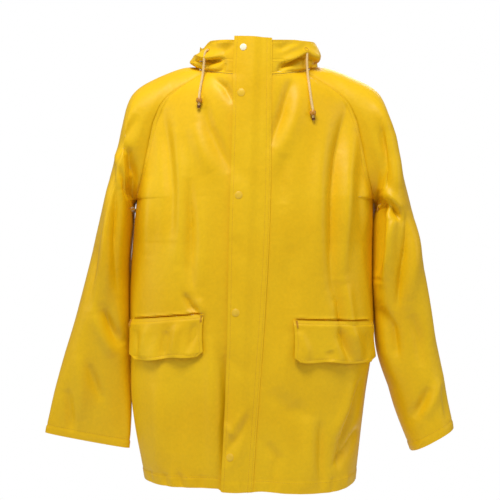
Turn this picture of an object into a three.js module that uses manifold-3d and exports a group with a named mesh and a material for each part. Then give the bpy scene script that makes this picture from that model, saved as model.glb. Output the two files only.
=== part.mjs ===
// A hooded rain jacket in coated cloth, hanging as it does on a shop form: raglan sleeves, a storm
// flap closed by press studs, two hip pockets under flaps, and the hood lying down on the back.
// Millimetres. +Z is up, the front faces -Y and the wearer's left is +X. The jacket is drawn with its
// hem at height 0, and the whole group is lowered at the end so that the hanger loop is the origin.
import * as THREE from "three";
import { mergeVertices } from "three/addons/utils/BufferGeometryUtils.js";
import Module from "manifold-3d";

const wasm = await Module();
wasm.setup();

// ---- Cloth and clearances ----
const CLOTH = 1.2; // thickness of the coated cloth
const SEAM = 0.5; // gap between two pieces sewn edge to edge
const LAYER = 0.4; // gap between two layers of cloth that lie on each other
const EASE = 1.3; // the same where the layers curve and their facets don't line up
const EPS = 1e-3; // step used to measure a surface's slope

// ---- The body ----
const frontLength = 790; // hem to neck seam at the centre front
const armholeDrop = 236; // front neck seam down to the armpit
const neckRise = 52; // how much higher the neck seam is at the back
const chestHalf = 236; // half the width at the armpits
const hipHalf = 242; // half the width over the hips
const hemHalf = 210; // half the width at the hem
const frontDepth = { hem: 144, chest: 139, neck: 131 }; // centre front, forward of the side seams
const backDepth = { hem: 112, waist: 117, blades: 120, neck: 80 }; // centre back, behind them
const neckHalf = 104; // half the width of the neck seam
const hemTurn = 20; // depth of the turned hem
const swing = { hem: -10, thigh: -14, hip: -7 }; // the body hangs a little to the wearer's right
const frontCorner = THREE.MathUtils.degToRad(67); // where the front raglan seam meets the neck
const backCorner = THREE.MathUtils.degToRad(118); // where the back raglan seam meets the neck

// ---- Hood ----
const collarRise = { front: 68, middle: 62, side: 46, wing: 40 }; // neck seam up to the hood's edge
const collarFlare = { front: -5, middle: -2, side: 6, wing: 14 }; // how far that edge leans outwards
const wingBack = 48; // how far the hood's edge runs back past the shoulder
const pouchHalf = 120; // half the width of the hood's mouth as it lies on the back
const pouchDrop = 192; // back neck seam down to the bottom of the hood
const pouchLean = 6; // the hood lies a little to the wearer's left
const pouchMouth = { deep: 45, clear: 0.6, rise: 1.6 }; // the mouth's half depth and its gap to the neck seam

// ---- Storm flap ----
const flapWidth = { collar: 38, waist: 50, hem: 65 }; // free edge to the centre line
const foldAt = { hem: -14, collar: 16 }; // the straight line that the flap folds on
const standWidth = { collar: 16, waist: 24, hem: 9 }; // fold line to the outer row of stitches
const flapLift = 5 + 2 * CLOTH; // the flap's middle over the right front, at the studs
const flapRamp = 20; // width over which the flap rises from its fold to that height
const studInset = 15; // press stud to the flap's free edge
const studHeights = [frontLength + 53, frontLength - 33, 558.5, 333, 59.6]; // the first closes the collar
const cap = { radius: 7.4, thick: 2.2 };
const post = { radius: 1.8, hole: 2.3 };
const socket = { radius: 5.6, thick: 2.6, recess: 3.3, deep: 1.8 };
const stud = { radius: 5, thick: 1, knob: 2.4, rise: 1.9 };

// ---- Pockets ----
const pocket = {
  left: { inner: 72, outer: 229, topInner: 320, topOuter: 314 },
  right: { inner: -98, outer: -243, topInner: 331, topOuter: 318 },
};
const pocketFlapDrop = 80; // height of a pocket flap
const pocketFlapLift = 3 + 2 * CLOTH; // a pocket flap's middle over the front
const pocketCorner = 14; // the cut-off lower corners
const pocketSlit = 15; // height of the slit behind the flap
const pocketBagDrop = 190; // depth of the pocket bag below the slit
const pocketBagLift = 14; // room inside the pocket bag
const pocketBagRim = 3.4; // the bag's rim behind the front's middle
const tack = { long: 13, wide: 3, thick: 1 };

// ---- Cords and loop ----
const casing = { from: 0.9, exit: { left: 1.08, right: 1 }, low: 0.42, high: 0.95, room: 7.2 };
const cord = { radius: 2.4, eyelet: 4.8 };
const bead = { radius: 6, bore: 3, high: 9 };
const hanger = { wide: 62, drop: 16, tape: 7, thick: 1.4 };
const neckTape = { wide: 14, up: 5, thick: 0.8 };
const tapeStart = 0.3; // angle from the centre front at which the neck tape ends

// The free ends of the drawcord, from inside the hood's edge down over the front.
const cordEnds = {
  left: [[94.6, -76.5, 843], [98.6, -79.6, 843.6], [100.8, -82.2, 840], [101.2, -84, 833], [101, -85.5, 822],
    [101.5, -87.5, 808], [102.6, -93.5, 792], [104, -100.4, 779], [105.5, -108.6, 765], [108, -115.6, 743],
    [110.2, -119, 730], [110.9, -120.6, 724], [111.1, -120.9, 718], [111.3, -121.2, 712],
    [112.4, -119.8, 704]],
  right: [[-89.4, -82.4, 843], [-93.6, -86, 843.4], [-97, -88.6, 839], [-98.5, -89.5, 831], [-99.4, -90, 819],
    [-100.4, -91.5, 807], [-101.6, -94.5, 796], [-103, -99, 785], [-105, -104, 774], [-107, -111, 760],
    [-107.9, -117, 748.5], [-108, -117.6, 742.5], [-108.1, -118.1, 736.5], [-108.6, -116.8, 728]],
};
const beadPlaces = {
  left: [[111.1, -120.9, 718], [110.9, -120.6, 724]],
  right: [[-108, -117.6, 742.5], [-107.9, -117, 748.5]],
};

const armpitHeight = frontLength - armholeDrop;
const backLength = frontLength + neckRise;
const V = (x, y, z) => new THREE.Vector3(x, y, z);
const mix = THREE.MathUtils.lerp;
const smooth = (t, from = 0, to = 1) => THREE.MathUtils.smoothstep(t, from, to);
const blend = (a, b, t) => a.clone().lerp(b, t);
const steps = (count, from = 0, to = 1) =>
  Array.from({ length: count + 1 }, (_, i) => mix(from, to, i / count));

const neckMiddle = V(0, -20, frontLength + 30);

// A smooth value through [position, value] stations, with each slope taken from its neighbours.
function through(stations, at) {
  const last = stations.length - 1;
  if (at <= stations[0][0]) return stations[0][1];
  if (at >= stations[last][0]) return stations[last][1];
  const i = stations.findIndex(([position]) => position > at) - 1;
  const slope = (k) => {
    const [xa, ya] = stations[Math.max(k - 1, 0)];
    const [xb, yb] = stations[Math.min(k + 1, last)];
    return (yb - ya) / (xb - xa);
  };
  const [x0, y0] = stations[i];
  const [x1, y1] = stations[i + 1];
  const h = x1 - x0;
  const t = (at - x0) / h;
  const near = y0 * (2 * t ** 3 - 3 * t ** 2 + 1) + slope(i) * h * (t ** 3 - 2 * t ** 2 + t);
  return near + y1 * (3 * t ** 2 - 2 * t ** 3) + slope(i + 1) * h * (t ** 3 - t ** 2);
}

// The same for a list of equal-length number rows, spaced evenly from 0 to 1.
function rowThrough(rows, t) {
  return rows[0].map((_, k) => through(rows.map((row, i) => [i / (rows.length - 1), row[k]]), t));
}

// ---------------------------------------------------------------- solids from grids of points

function geometryOf(points, triangles) {
  const geometry = new THREE.BufferGeometry();
  const volume = (a, b, c) => points[a].dot(points[b].clone().cross(points[c]));
  let total = 0;
  for (let i = 0; i < triangles.length; i += 3)
    total += volume(triangles[i], triangles[i + 1], triangles[i + 2]);
  const index = total < 0 ? [...triangles].reverse() : triangles;
  geometry.setAttribute("position", new THREE.Float32BufferAttribute(points.flatMap((p) => p.toArray()), 3));
  geometry.setIndex(index);
  return geometry;
}

// A closed shell between two equal grids, rims included. A wrapped grid's last column meets its first.
function shell(outer, inner, wrapped = false) {
  const rows = outer.length;
  const cols = outer[0].length;
  const at = (face, r, c) => face * rows * cols + r * cols + (c % cols);
  const triangles = [];
  const quad = (a, b, c, d) => triangles.push(a, b, c, a, c, d);
  const span = wrapped ? cols : cols - 1;
  const top = rows - 1;
  const edge = cols - 1;
  for (let c = 0; c < span; c++) {
    for (let r = 0; r < top; r++) {
      quad(at(0, r, c), at(0, r, c + 1), at(0, r + 1, c + 1), at(0, r + 1, c));
      quad(at(1, r, c), at(1, r + 1, c), at(1, r + 1, c + 1), at(1, r, c + 1));
    }
    quad(at(0, 0, c), at(1, 0, c), at(1, 0, c + 1), at(0, 0, c + 1));
    quad(at(0, top, c), at(0, top, c + 1), at(1, top, c + 1), at(1, top, c));
  }
  for (let r = 0; r < top && !wrapped; r++) {
    quad(at(0, r, 0), at(0, r + 1, 0), at(1, r + 1, 0), at(1, r, 0));
    quad(at(0, r, edge), at(1, r, edge), at(1, r + 1, edge), at(0, r + 1, edge));
  }
  return geometryOf([...outer.flat(), ...inner.flat()], triangles);
}

// The direction square to surface(row, col), on the side away from a point inside the jacket.
function outward(surface, row, col, inside) {
  const at = surface(row, col);
  const dr = row > 0.5 ? at.clone().sub(surface(row - EPS, col)) : surface(row + EPS, col).sub(at);
  const dc = col > 0.5 ? at.clone().sub(surface(row, col - EPS)) : surface(row, col + EPS).sub(at);
  const normal = dc.cross(dr).normalize();
  return normal.dot(at.sub(inside)) < 0 ? normal.negate() : normal;
}

// Cloth laid on surface(row, col), both from 0 to 1. behind(row) thickens it inwards at turned edges.
function cloth(surface, rowStops, colStops, inside, behind = () => CLOTH / 2, wrapped = false) {
  const away = typeof inside === "function" ? inside : () => inside;
  const grid = (offset) =>
    rowStops.map((row) =>
      colStops.map((col) => {
        const normal = outward(surface, row, col, away(row));
        return surface(row, col).addScaledVector(normal, offset(row));
      }),
    );
  return shell(grid(() => CLOTH / 2), grid((row) => -behind(row)), wrapped);
}

function manifoldOf(geometry) {
  const bare = new THREE.BufferGeometry();
  bare.setAttribute("position", geometry.getAttribute("position"));
  if (geometry.index) bare.setIndex(geometry.index);
  const merged = mergeVertices(bare, 1e-4);
  return new wasm.Manifold(
    new wasm.Mesh({
      numProp: 3,
      vertProperties: merged.attributes.position.array,
      triVerts: new Uint32Array(merged.index.array),
    }),
  );
}

function fromManifold(solid) {
  const mesh = solid.getMesh();
  const geometry = new THREE.BufferGeometry();
  geometry.setAttribute("position", new THREE.BufferAttribute(mesh.vertProperties, 3));
  geometry.setIndex(new THREE.BufferAttribute(mesh.triVerts, 1));
  return geometry;
}

const cutFrom = (geometry, cutters) =>
  fromManifold(cutters.reduce((solid, cutter) => solid.subtract(manifoldOf(cutter)), manifoldOf(geometry)));

// Turns geometry drawn along +Y so that +Y points along a direction, then moves it to a place.
function aimed(geometry, direction, place) {
  const turn = new THREE.Quaternion().setFromUnitVectors(V(0, 1, 0), direction.clone().normalize());
  return geometry.applyQuaternion(turn).translate(place.x, place.y, place.z);
}

// A round piece from [radius, height] points, drawn along +Y and closed on its axis or on itself.
const turned = (profile, sides = 10) =>
  new THREE.LatheGeometry(profile.map(([radius, height]) => new THREE.Vector2(radius, height)), sides);

// ---------------------------------------------------------------- the body's surface

const drift = (z) =>
  through([[0, swing.hem], [0.28 * armpitHeight, swing.thigh], [0.5 * armpitHeight, swing.hip],
    [0.72 * armpitHeight, swing.hip], [armpitHeight, 0]], z);
const halfWidth = (z) =>
  through([[0, hemHalf], [0.28 * armpitHeight, mix(hemHalf, hipHalf, 0.7)], [0.5 * armpitHeight, hipHalf],
    [0.76 * armpitHeight, hipHalf - 1], [armpitHeight, chestHalf]], z);
const frontLine = (z) =>
  -through([[0, frontDepth.hem], [armpitHeight, frontDepth.chest], [frontLength, frontDepth.neck]], z);
const backLine = (z) =>
  through([[0, backDepth.hem], [0.55 * armpitHeight, backDepth.waist], [armpitHeight, backDepth.blades],
    [backLength - 100, backDepth.hem], [backLength, backDepth.neck]], z);

// The neck seam, from 0 at the centre front to a half turn at the centre back.
function neckPoint(angle, side = 1) {
  const middle = (backDepth.neck - frontDepth.neck) / 2;
  const deep = (backDepth.neck + frontDepth.neck) / 2;
  const height = frontLength + (neckRise * (1 - Math.cos(angle))) / 2;
  return V(side * neckHalf * Math.sin(angle), middle - deep * Math.cos(angle), height);
}

// A raglan seam from the armpit to the neck: share of the way out, depth, share of the way up.
const frontSeam = [[1, 0, 0], [0.979, -36, 0.032], [0.9, -58, 0.18], [0.8, -66, 0.44], [0.71, -70, 0.64],
  [0.53, -71, 0.8], [0, neckPoint(frontCorner).y, 1]];
const backSeam = [[1, 0, 0], [0.986, 40, 0.044], [0.903, 70, 0.204], [0.785, 88, 0.405], [0.62, 94, 0.61],
  [0.33, 78, 0.82], [0, neckPoint(backCorner).y, 1]];
const faces = {
  front: { seam: frontSeam, corner: frontCorner, line: frontLine, top: frontLength, middle: 0 },
  back: { seam: backSeam, corner: backCorner, line: backLine, top: backLength, middle: Math.PI },
};

function raglan(face, side, t) {
  const [out, y, up] = rowThrough(face.seam, t);
  const neck = neckPoint(face.corner);
  return V(side * mix(neck.x, chestHalf, out), y, mix(armpitHeight, neck.z, up));
}

// The body at row v (0 hem, 1 armpit, 2 neck seam) and share s of the way from the centre to the edge.
// A share below 0 lies past the centre line, on the other side.
function bodyPoint(face, side, v, s) {
  if (s < 0) return bodyPoint(face, -side, v, -s);
  const up = v <= 1 ? 0 : rowThrough(face.seam, v - 1)[2];
  const z = v <= 1 ? v * armpitHeight : mix(armpitHeight, face.top, up);
  const edge = v <= 1 ? V(drift(z) + side * halfWidth(z), 0, z) : raglan(face, side, v - 1);
  const centre = V(drift(z), face.line(z), z);
  const high = smooth(v, 1, 1.6);
  const nearCentre = V(mix(centre.x, edge.x, mix(0.66, 0.5, high)), centre.y, centre.z);
  const nearEdge = V(mix(edge.x, centre.x, 0.22 * high), mix(edge.y, centre.y, mix(0.66, 0.5, high)), edge.z);
  const curve = new THREE.CubicBezierCurve3(centre, nearCentre, nearEdge, edge);
  const ring = neckPoint(mix(face.middle, face.corner, s), side);
  const toNeck = smooth(v, 1.55, 2);
  const offSeam = edge.clone().sub(neckPoint(face.corner, side)).multiplyScalar(toNeck * s ** 4);
  return blend(curve.getPoint(s), ring, toNeck).add(offSeam); // the edge keeps to the raglan seam
}

// The share s at which row v passes x, found by halving.
function shareAt(face, side, v, x) {
  let low = -0.25;
  let high = 1;
  for (let i = 0; i < 30; i++) {
    const middle = (low + high) / 2;
    if (side * (bodyPoint(face, side, v, middle).x - x) < 0) low = middle;
    else high = middle;
  }
  return (low + high) / 2;
}

// The share that stops short of a row's outer edge by a seam's gap.
function seamShare(face, side, v, gap = SEAM) {
  const reach = bodyPoint(face, side, v, 1).distanceTo(bodyPoint(face, side, v, 0.99)) * 100;
  return 1 - gap / reach;
}

const insideBody = (v) => V(0, -10, Math.min(v * armpitHeight, 700));
const bodyRows = [0, hemTurn / armpitHeight, ...steps(7, 0.12, 1), ...steps(8, 1, 2).slice(1)];
const turnedHem = (v) => (v * armpitHeight < hemTurn - 0.1 ? CLOTH * 1.5 + LAYER : CLOTH / 2);

// ---------------------------------------------------------------- the hood's collar

const wingEnd = backCorner;
const collarStop = (values, angle) =>
  through([[0, values.front], [wingEnd * 0.4, values.middle], [wingEnd * 0.76, values.side],
    [wingEnd, values.wing]], angle);

// The part of the hood that stands round the neck: angle as on the neck seam, u from seam to edge.
function collarPoint(side, angle, u) {
  const foot = neckPoint(angle, side).add(V(0, 0, CLOTH / 2 + SEAM));
  const away = V(side * Math.sin(angle), -Math.cos(angle), 0);
  const back = wingBack * smooth(angle / wingEnd, 0.72, 1.02);
  const puff = 9 * Math.sin(Math.PI * u) * smooth(angle / wingEnd, 0.25, 0.7);
  const edge = foot.clone().addScaledVector(away, collarStop(collarFlare, angle));
  edge.add(V(0, back, collarStop(collarRise, angle)));
  return blend(foot, edge, u).addScaledVector(away, puff);
}

// A point of the front at x and height z, lifted off the cloth, with the direction that faces out.
function frontAt(x, z, lift = 0) {
  const side = x < drift(z) ? -1 : 1;
  let point;
  let normal;
  if (z > frontLength + CLOTH) {
    const angle = Math.asin(Math.abs(x) / neckHalf);
    const u = (z - neckPoint(angle).z) / collarStop(collarRise, angle);
    const surface = (row, col) => collarPoint(side, col, row);
    point = surface(u, angle);
    point.x = x;
    normal = outward(surface, u, angle, V(0, 0, z));
  } else {
    let v = z < armpitHeight ? z / armpitHeight : 1 + (z - armpitHeight) / armholeDrop;
    for (let i = 0; i < 12; i++) {
      const now = bodyPoint(faces.front, side, v, shareAt(faces.front, side, v, x));
      v = THREE.MathUtils.clamp(v + (z - now.z) / (z < armpitHeight ? armpitHeight : armholeDrop), 0, 2);
    }
    const surface = (row, col) => bodyPoint(faces.front, side, row, col);
    const share = shareAt(faces.front, side, v, x);
    point = surface(v, share);
    normal = outward(surface, v, share, V(0, 0, z));
  }
  return { point: point.addScaledVector(normal, lift), normal };
}

// ---------------------------------------------------------------- assembly helpers

const finish = (color, roughness, metalness = 0) =>
  new THREE.MeshStandardMaterial({ color, roughness, metalness });
const finishes = {
  coated: finish("#edc11c", 0.55),
  snap: finish("#e9bf3a", 0.4),
  metal: finish("#b9b4a8", 0.35, 0.9),
  lining: finish("#e4dcc4", 0.9),
  cord: finish("#e3c48a", 0.85),
  bead: finish("#b9791a", 0.4),
};
const jacket = new THREE.Group();

function add(name, geometry, material) {
  const mesh = new THREE.Mesh(geometry, finishes[material].clone());
  mesh.name = name;
  jacket.add(mesh);
}

// ---------------------------------------------------------------- storm flap lines

const collarTop = frontLength + collarRise.front;
const foldX = (z) => mix(foldAt.hem, foldAt.collar, z / collarTop);
const freeX = (z) =>
  -through([[0, flapWidth.hem], [0.3 * collarTop, flapWidth.waist + 4], [0.55 * collarTop, flapWidth.waist],
    [collarTop, flapWidth.collar]], z);
const standX = (z) =>
  foldX(z) + through([[0, standWidth.hem], [0.55 * collarTop, standWidth.waist],
    [collarTop, standWidth.collar]], z);
const studX = (z) => freeX(z) + studInset;
const foldLift = CLOTH + LAYER + CLOTH / 2;
const flapLiftAt = (x, z) => mix(foldLift, flapLift, smooth((foldX(z) - x) / flapRamp));
const flapRows = [0, 0.06, 0.18, 0.32, 0.46, 0.6, 0.72, 0.82, 0.9, 0.945, 1];
const studPlaces = studHeights.map((z) => frontAt(studX(z), z));
const drill = (radius, places) =>
  places.map(({ point, normal }) => aimed(new THREE.CylinderGeometry(radius, radius, 24, 10), normal, point));

// A strip that follows the front between two edges, at a height over it.
function strip(fromX, toX, lift, low, high, across) {
  const surface = (row, col) => {
    const z = mix(low, high, row);
    const x = mix(fromX(z), toX(z), col);
    return frontAt(x, z, lift(x, z)).point;
  };
  const stops = flapRows.map((row) => THREE.MathUtils.clamp(row, EPS, 1 - EPS));
  return cloth(surface, stops, steps(across), (row) => V(-10, 0, mix(low, high, row)));
}

// ---------------------------------------------------------------- body panels

function addFront(name, side, innerX, holes) {
  const surface = (row, col) => {
    const z = row < 1 ? row * armpitHeight : mix(armpitHeight, frontLength, row - 1);
    const start = shareAt(faces.front, side, row, innerX(z));
    return bodyPoint(faces.front, side, row, mix(start, seamShare(faces.front, side, row), col));
  };
  add(name, cutFrom(cloth(surface, bodyRows, steps(9), insideBody, turnedHem), holes), "coated");
}

function addBack() {
  const surface = (row, col) => {
    const side = col < 0.5 ? 1 : -1;
    const share = Math.abs(1 - 2 * col) * seamShare(faces.back, side, row);
    return bodyPoint(faces.back, side, row, share);
  };
  add("back", cloth(surface, bodyRows, steps(16), insideBody, turnedHem), "coated");
}

// ---------------------------------------------------------------- pockets

// The line a pocket flap hangs from, and how far its lower corners are cut back.
function pocketLine(place, t) {
  return [mix(place.inner, place.outer, t), mix(place.topInner, place.topOuter, t)];
}

function pocketSheet(place, lift, top, bottom, corner, inset) {
  const surface = (row, col) => {
    const [x, z] = pocketLine(place, mix(inset, 1 - inset, col));
    const height = z - mix(top, bottom, row);
    const cut = corner * smooth(row, 0.7, 1) * (col - 0.5) * 2;
    return frontAt(x - cut * Math.sign(place.outer - place.inner), height, lift(row, col)).point;
  };
  return cloth(surface, [EPS, 0.35, 0.7, 1 - EPS], steps(10), V(0, 0, place.topInner));
}

function slitOf(place) {
  const middle = pocketLine(place, 0.5);
  const { point, normal } = frontAt(middle[0], middle[1] - pocketFlapDrop * 0.28);
  const long = Math.abs(place.outer - place.inner) * 0.72;
  return aimed(new THREE.BoxGeometry(long, 60, pocketSlit), V(normal.x, normal.y, 0), point);
}

function addPocket(side, place) {
  const flat = () => pocketFlapLift;
  const under = () => pocketFlapLift - CLOTH - 2 * LAYER;
  add(`pocket_flap_${side}`, pocketSheet(place, flat, 0, pocketFlapDrop, pocketCorner, 0), "coated");
  add(`pocket_flap_lining_${side}`, pocketSheet(place, under, 3, pocketFlapDrop - 4, pocketCorner, 0), "coated");
  const hollow = (row, col) => {
    const rim = Math.min(1, 4 * Math.min(col, 1 - col), 3 * Math.min(row, 1 - row));
    return -mix(pocketBagRim, pocketBagLift, smooth(rim));
  };
  add(`pocket_bag_${side}`, pocketSheet(place, hollow, 8, pocketBagDrop, 0, 0.02), "lining");
  for (const [end, t] of [["inner", 0.03], ["outer", 0.99]]) {
    const [x, z] = pocketLine(place, t);
    const { point, normal } = frontAt(x, z - tack.long / 2 - 1, pocketFlapLift + CLOTH / 2 + LAYER + tack.thick / 2);
    const bar = new THREE.BoxGeometry(tack.wide, tack.thick, tack.long);
    add(`pocket_tack_${side}_${end}`, aimed(bar, normal, point), "coated");
  }
}

// ---------------------------------------------------------------- sleeves

// Cross-sections down a sleeve: inner point x, z; outer point x, z; bow; depth in front; depth behind.
// Their heights count from the armpit.
const shoulderRings = [[240.5, -6, 140, 265, 60, 74, 84], [242.5, -11, 196, 244, 40, 76, 87],
  [244, -16, 238, 221, 20, 78, 88], [245, -19, 257, 194, 8, 80, 88], [245.5, -22, 270, 152, 2, 81, 88],
  [246, -24, 282, 104, 0, 81, 87]];
const splitRing = [246.5, -26, 297, 44, 0, 81, 86];
const armRings = {
  left: [[248.5, -54, 307, 6, 0, 80, 86], [250, -84, 320, -54, 0, 79, 85], [250, -128, 332, -114, 0, 74, 84],
    [250, -200, 346, -200, 0, 64, 80], [252, -300, 366, -294, 0, 54, 72], [277, -400, 384, -382, 0, 52, 68],
    [305, -478, 393, -434, 0, 55, 66], [313, -500, 396, -454, 0, 56, 66]],
  right: [[249.5, -54, 307, 6, 0, 81, 86], [252, -84, 320, -54, 0, 80, 85], [254, -128, 333, -114, 0, 76, 84],
    [255, -200, 354, -198, 0, 62, 78], [255, -300, 379, -296, 0, 44, 62], [254, -400, 404, -386, 0, 24, 44],
    [253, -476, 417, -446, 0, 8, 28], [254, -498, 421, -467, 0, 4, 24]],
};
const ringSides = { front: 8, neck: 3, back: 8 };
const ringCount = 2 * ringSides.front + ringSides.neck;
const turnOf = THREE.MathUtils.degToRad(36); // where the neck's stretch starts on a ring

// One step round a sleeve's ring: armpit, up the front seam, over the neck's stretch, down the back.
function ringStep(k) {
  const { front, neck } = ringSides;
  if (k <= front) return { part: "front", t: k / front, angle: mix(Math.PI, turnOf, k / front) };
  const over = (k - front) / neck;
  if (over <= 1) return { part: "neck", t: over, angle: mix(turnOf, -turnOf, over) };
  const down = (k - front - neck) / ringSides.back;
  return { part: "back", t: 1 - down, angle: mix(-turnOf, -Math.PI, down) };
}

const armholeGap = V(1.3, 0, 0.6); // clearance all round the armhole, sideways and up

function armholePoint(side, k) {
  const { part, t } = ringStep(k);
  const gap = armholeGap.clone().multiply(V(side, 0, 1));
  if (part === "neck") return neckPoint(mix(frontCorner, backCorner, t), side).add(gap.multiply(V(1, 0, 0)));
  return raglan(faces[part], side, t).add(gap.multiplyScalar(mix(1, 0.8, t)));
}

function ringPoint(side, ring, k) {
  const [xi, zi, xo, zo, bow, deepFront, deepBack] = ring;
  const { angle } = ringStep(k);
  const power = 2 / 2.6;
  const across = Math.sign(Math.cos(angle)) * Math.abs(Math.cos(angle)) ** power;
  const along = Math.sign(Math.sin(angle)) * Math.abs(Math.sin(angle)) ** power;
  const chord = V(xo - xi, 0, zo - zi).normalize();
  const bend = V((xi + xo) / 2 + bow * chord.z, 0, (zi + zo) / 2 - bow * chord.x);
  const at = new THREE.QuadraticBezierCurve3(V(xi, 0, zi), bend, V(xo, 0, zo)).getPoint((1 + across) / 2);
  const middle = (deepBack - deepFront) / 2;
  return V(side * at.x, middle - (along * (deepFront + deepBack)) / 2, armpitHeight + at.z);
}

function tube(side, rings, turnedRows) {
  const rowsOf = steps(rings.length - 1);
  const surface = (row, col) => {
    const k = (((col % 1) + 1) % 1) * ringCount;
    const stations = rings.map((ring) => (ring === "armhole" ? armholePoint(side, k) : ringPoint(side, ring, k)));
    return V(...rowThrough(stations.map((p) => p.toArray()), row));
  };
  const centre = (row) => surface(row, 0).add(surface(row, (ringSides.front + 1.5) / ringCount)).multiplyScalar(0.5);
  const cols = steps(ringCount).slice(0, -1);
  const behind = (row) => (row > turnedRows ? CLOTH * 1.5 + LAYER : CLOTH / 2);
  return cloth(surface, rowsOf, cols, centre, behind, true);
}

// ---------------------------------------------------------------- hood

function addCollar(name, side, startAngle, holes) {
  const surface = (row, col) => collarPoint(side, mix(startAngle(row), wingEnd, col), row);
  const stops = [0, 0.25, 0.5, 0.75, 1];
  add(`hood_front_${name}`, cutFrom(cloth(surface, stops, steps(14), neckMiddle), holes), "coated");
}

// The tunnel tape inside the hood's edge, standing off it by the room that the cord needs.
function addCasing(name, side) {
  const surface = (row, col) => {
    const angle = mix(casing.from, wingEnd * 0.985, col);
    const u = mix(casing.low, casing.high, row);
    const at = collarPoint(side, angle, u);
    const out = outward((r, c) => collarPoint(side, c, r), u, angle, neckMiddle);
    return at.addScaledVector(out, -(CLOTH + EASE + casing.room * Math.min(1, 3.2 * Math.min(row, 1 - row))));
  };
  add(`hood_casing_${name}`, cloth(surface, [0, 0.32, 0.68, 1], steps(6, EPS, 1 - EPS), neckMiddle), "lining");
}

// A solid through rings of points, with a fan over each end.
function loft(rings) {
  const count = rings[0].length;
  const points = rings.flat();
  const middle = (ring) => ring.reduce((sum, p) => sum.add(p), V(0, 0, 0)).divideScalar(count);
  const first = points.push(middle(rings[0])) - 1;
  const last = points.push(middle(rings.at(-1))) - 1;
  const triangles = [];
  const end = (rings.length - 1) * count;
  for (let c = 0; c < count; c++) {
    const next = (c + 1) % count;
    for (let r = 0; r < end; r += count) {
      triangles.push(r + c, r + next, r + count + next, r + c, r + count + next, r + count + c);
    }
    triangles.push(first, next, c, last, end + c, end + next);
  }
  return geometryOf(points, triangles);
}

// One ring of the hood's pouch, shrunk evenly by a wall thickness. Height may change round the ring.
function pouchRing([height, middle, half, deep], wall, sides = 20) {
  return Array.from({ length: sides }, (_, i) => {
    const angle = (2 * Math.PI * i) / sides;
    const power = 2 / 2.5;
    const c = Math.sign(Math.cos(angle)) * Math.abs(Math.cos(angle)) ** power;
    const s = Math.sign(Math.sin(angle)) * Math.abs(Math.sin(angle)) ** power;
    return V(pouchLean + (half - wall) * c, middle + (deep - wall) * s, height(c, s));
  });
}

const mouthHeight = (raise) => (c, s) =>
  backLength + pouchMouth.rise + raise + 34 * Math.abs(c) ** 1.5 * smooth(s, -1, -0.2) + 12 * smooth(s, 0, 1);

function addPouch() {
  const { deep, clear } = pouchMouth;
  const mouthY = backDepth.neck + deep + clear;
  const depth = (t) => () => backLength - pouchDrop * t;
  const rows = (wall, raise) => [
    [mouthHeight(raise), mouthY, pouchHalf, deep],
    [depth(0.2), backDepth.neck + 60, pouchHalf + 10, 42],
    [depth(0.46), backDepth.neck + 69, pouchHalf + 6, 33],
    [depth(0.72), backDepth.neck + 71, pouchHalf - 12, 26],
    [(c, s) => depth(0.92)(c, s) + wall, backDepth.neck + 67, pouchHalf - 40, 17],
    [(c, s) => depth(1)(c, s) + wall, backDepth.neck + 66, pouchHalf - 64, 9],
  ].map((row) => pouchRing(row, wall));
  const bag = cutFrom(loft(rows(0, 0)), [loft([pouchRing([mouthHeight(40), mouthY, pouchHalf, deep], CLOTH),
    ...rows(CLOTH, 0)])]);
  for (const [name, side] of [["left", 1], ["right", -1]]) {
    const other = new THREE.BoxGeometry(400, 400, 600);
    other.translate(pouchLean - side * (200 - SEAM / 2), backDepth.neck + 60, backLength);
    add(`hood_back_${name}`, cutFrom(bag, [other]), "coated");
  }
}

// ---------------------------------------------------------------- cords

// A cord through hand-placed points, as a round bar.
function cordOf(points) {
  const curve = new THREE.CatmullRomCurve3(points.map((p) => V(...p)));
  const ring = new THREE.Shape().absarc(0, 0, cord.radius, 0, 2 * Math.PI);
  const stepCount = Math.max(6, Math.round(curve.getLength() / (5 * cord.radius)));
  const bar = new THREE.ExtrudeGeometry(ring, { steps: stepCount, curveSegments: 4, extrudePath: curve });
  return bar;
}

// The cord's hidden run lies in the tunnel behind the collar, from the exit back to the wing's end.
const runPath = (name, side) =>
  steps(8, casing.exit[name] + 0.03, wingEnd * 0.97).map((angle) => {
    const u = (casing.low + casing.high) / 2;
    const at = collarPoint(side, angle, u);
    const out = outward((r, c) => collarPoint(side, c, r), u, angle, neckMiddle);
    return at.addScaledVector(out, -(CLOTH / 2 + EASE + cord.radius)).toArray();
  });

// ---------------------------------------------------------------- build

const frontPlaces = studPlaces.slice(1);
const underEdge = (z) => foldX(Math.min(z, frontLength)) - 4; // the right front ends under the flap
const leftEdge = (z) => foldX(Math.min(z, frontLength)) - 2; // the left front ends behind the fold
addFront("front_right", -1, underEdge, [...drill(post.hole, frontPlaces), slitOf(pocket.right)]);
addFront("front_left", 1, leftEdge, [slitOf(pocket.left)]);
addBack();
const sides = [["left", 1], ["right", -1]];
for (const [name, side] of sides) {
  const start = [...splitRing];
  start[1] -= 1.4;
  start[2] += 0.8;
  start[3] -= 1.1;
  add(`sleeve_top_${name}`, tube(side, ["armhole", ...shoulderRings, splitRing], 2), "coated");
  add(`sleeve_${name}`, tube(side, [start, ...armRings[name]], 0.95), "coated");
  addPocket(name, pocket[name]);
}

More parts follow.
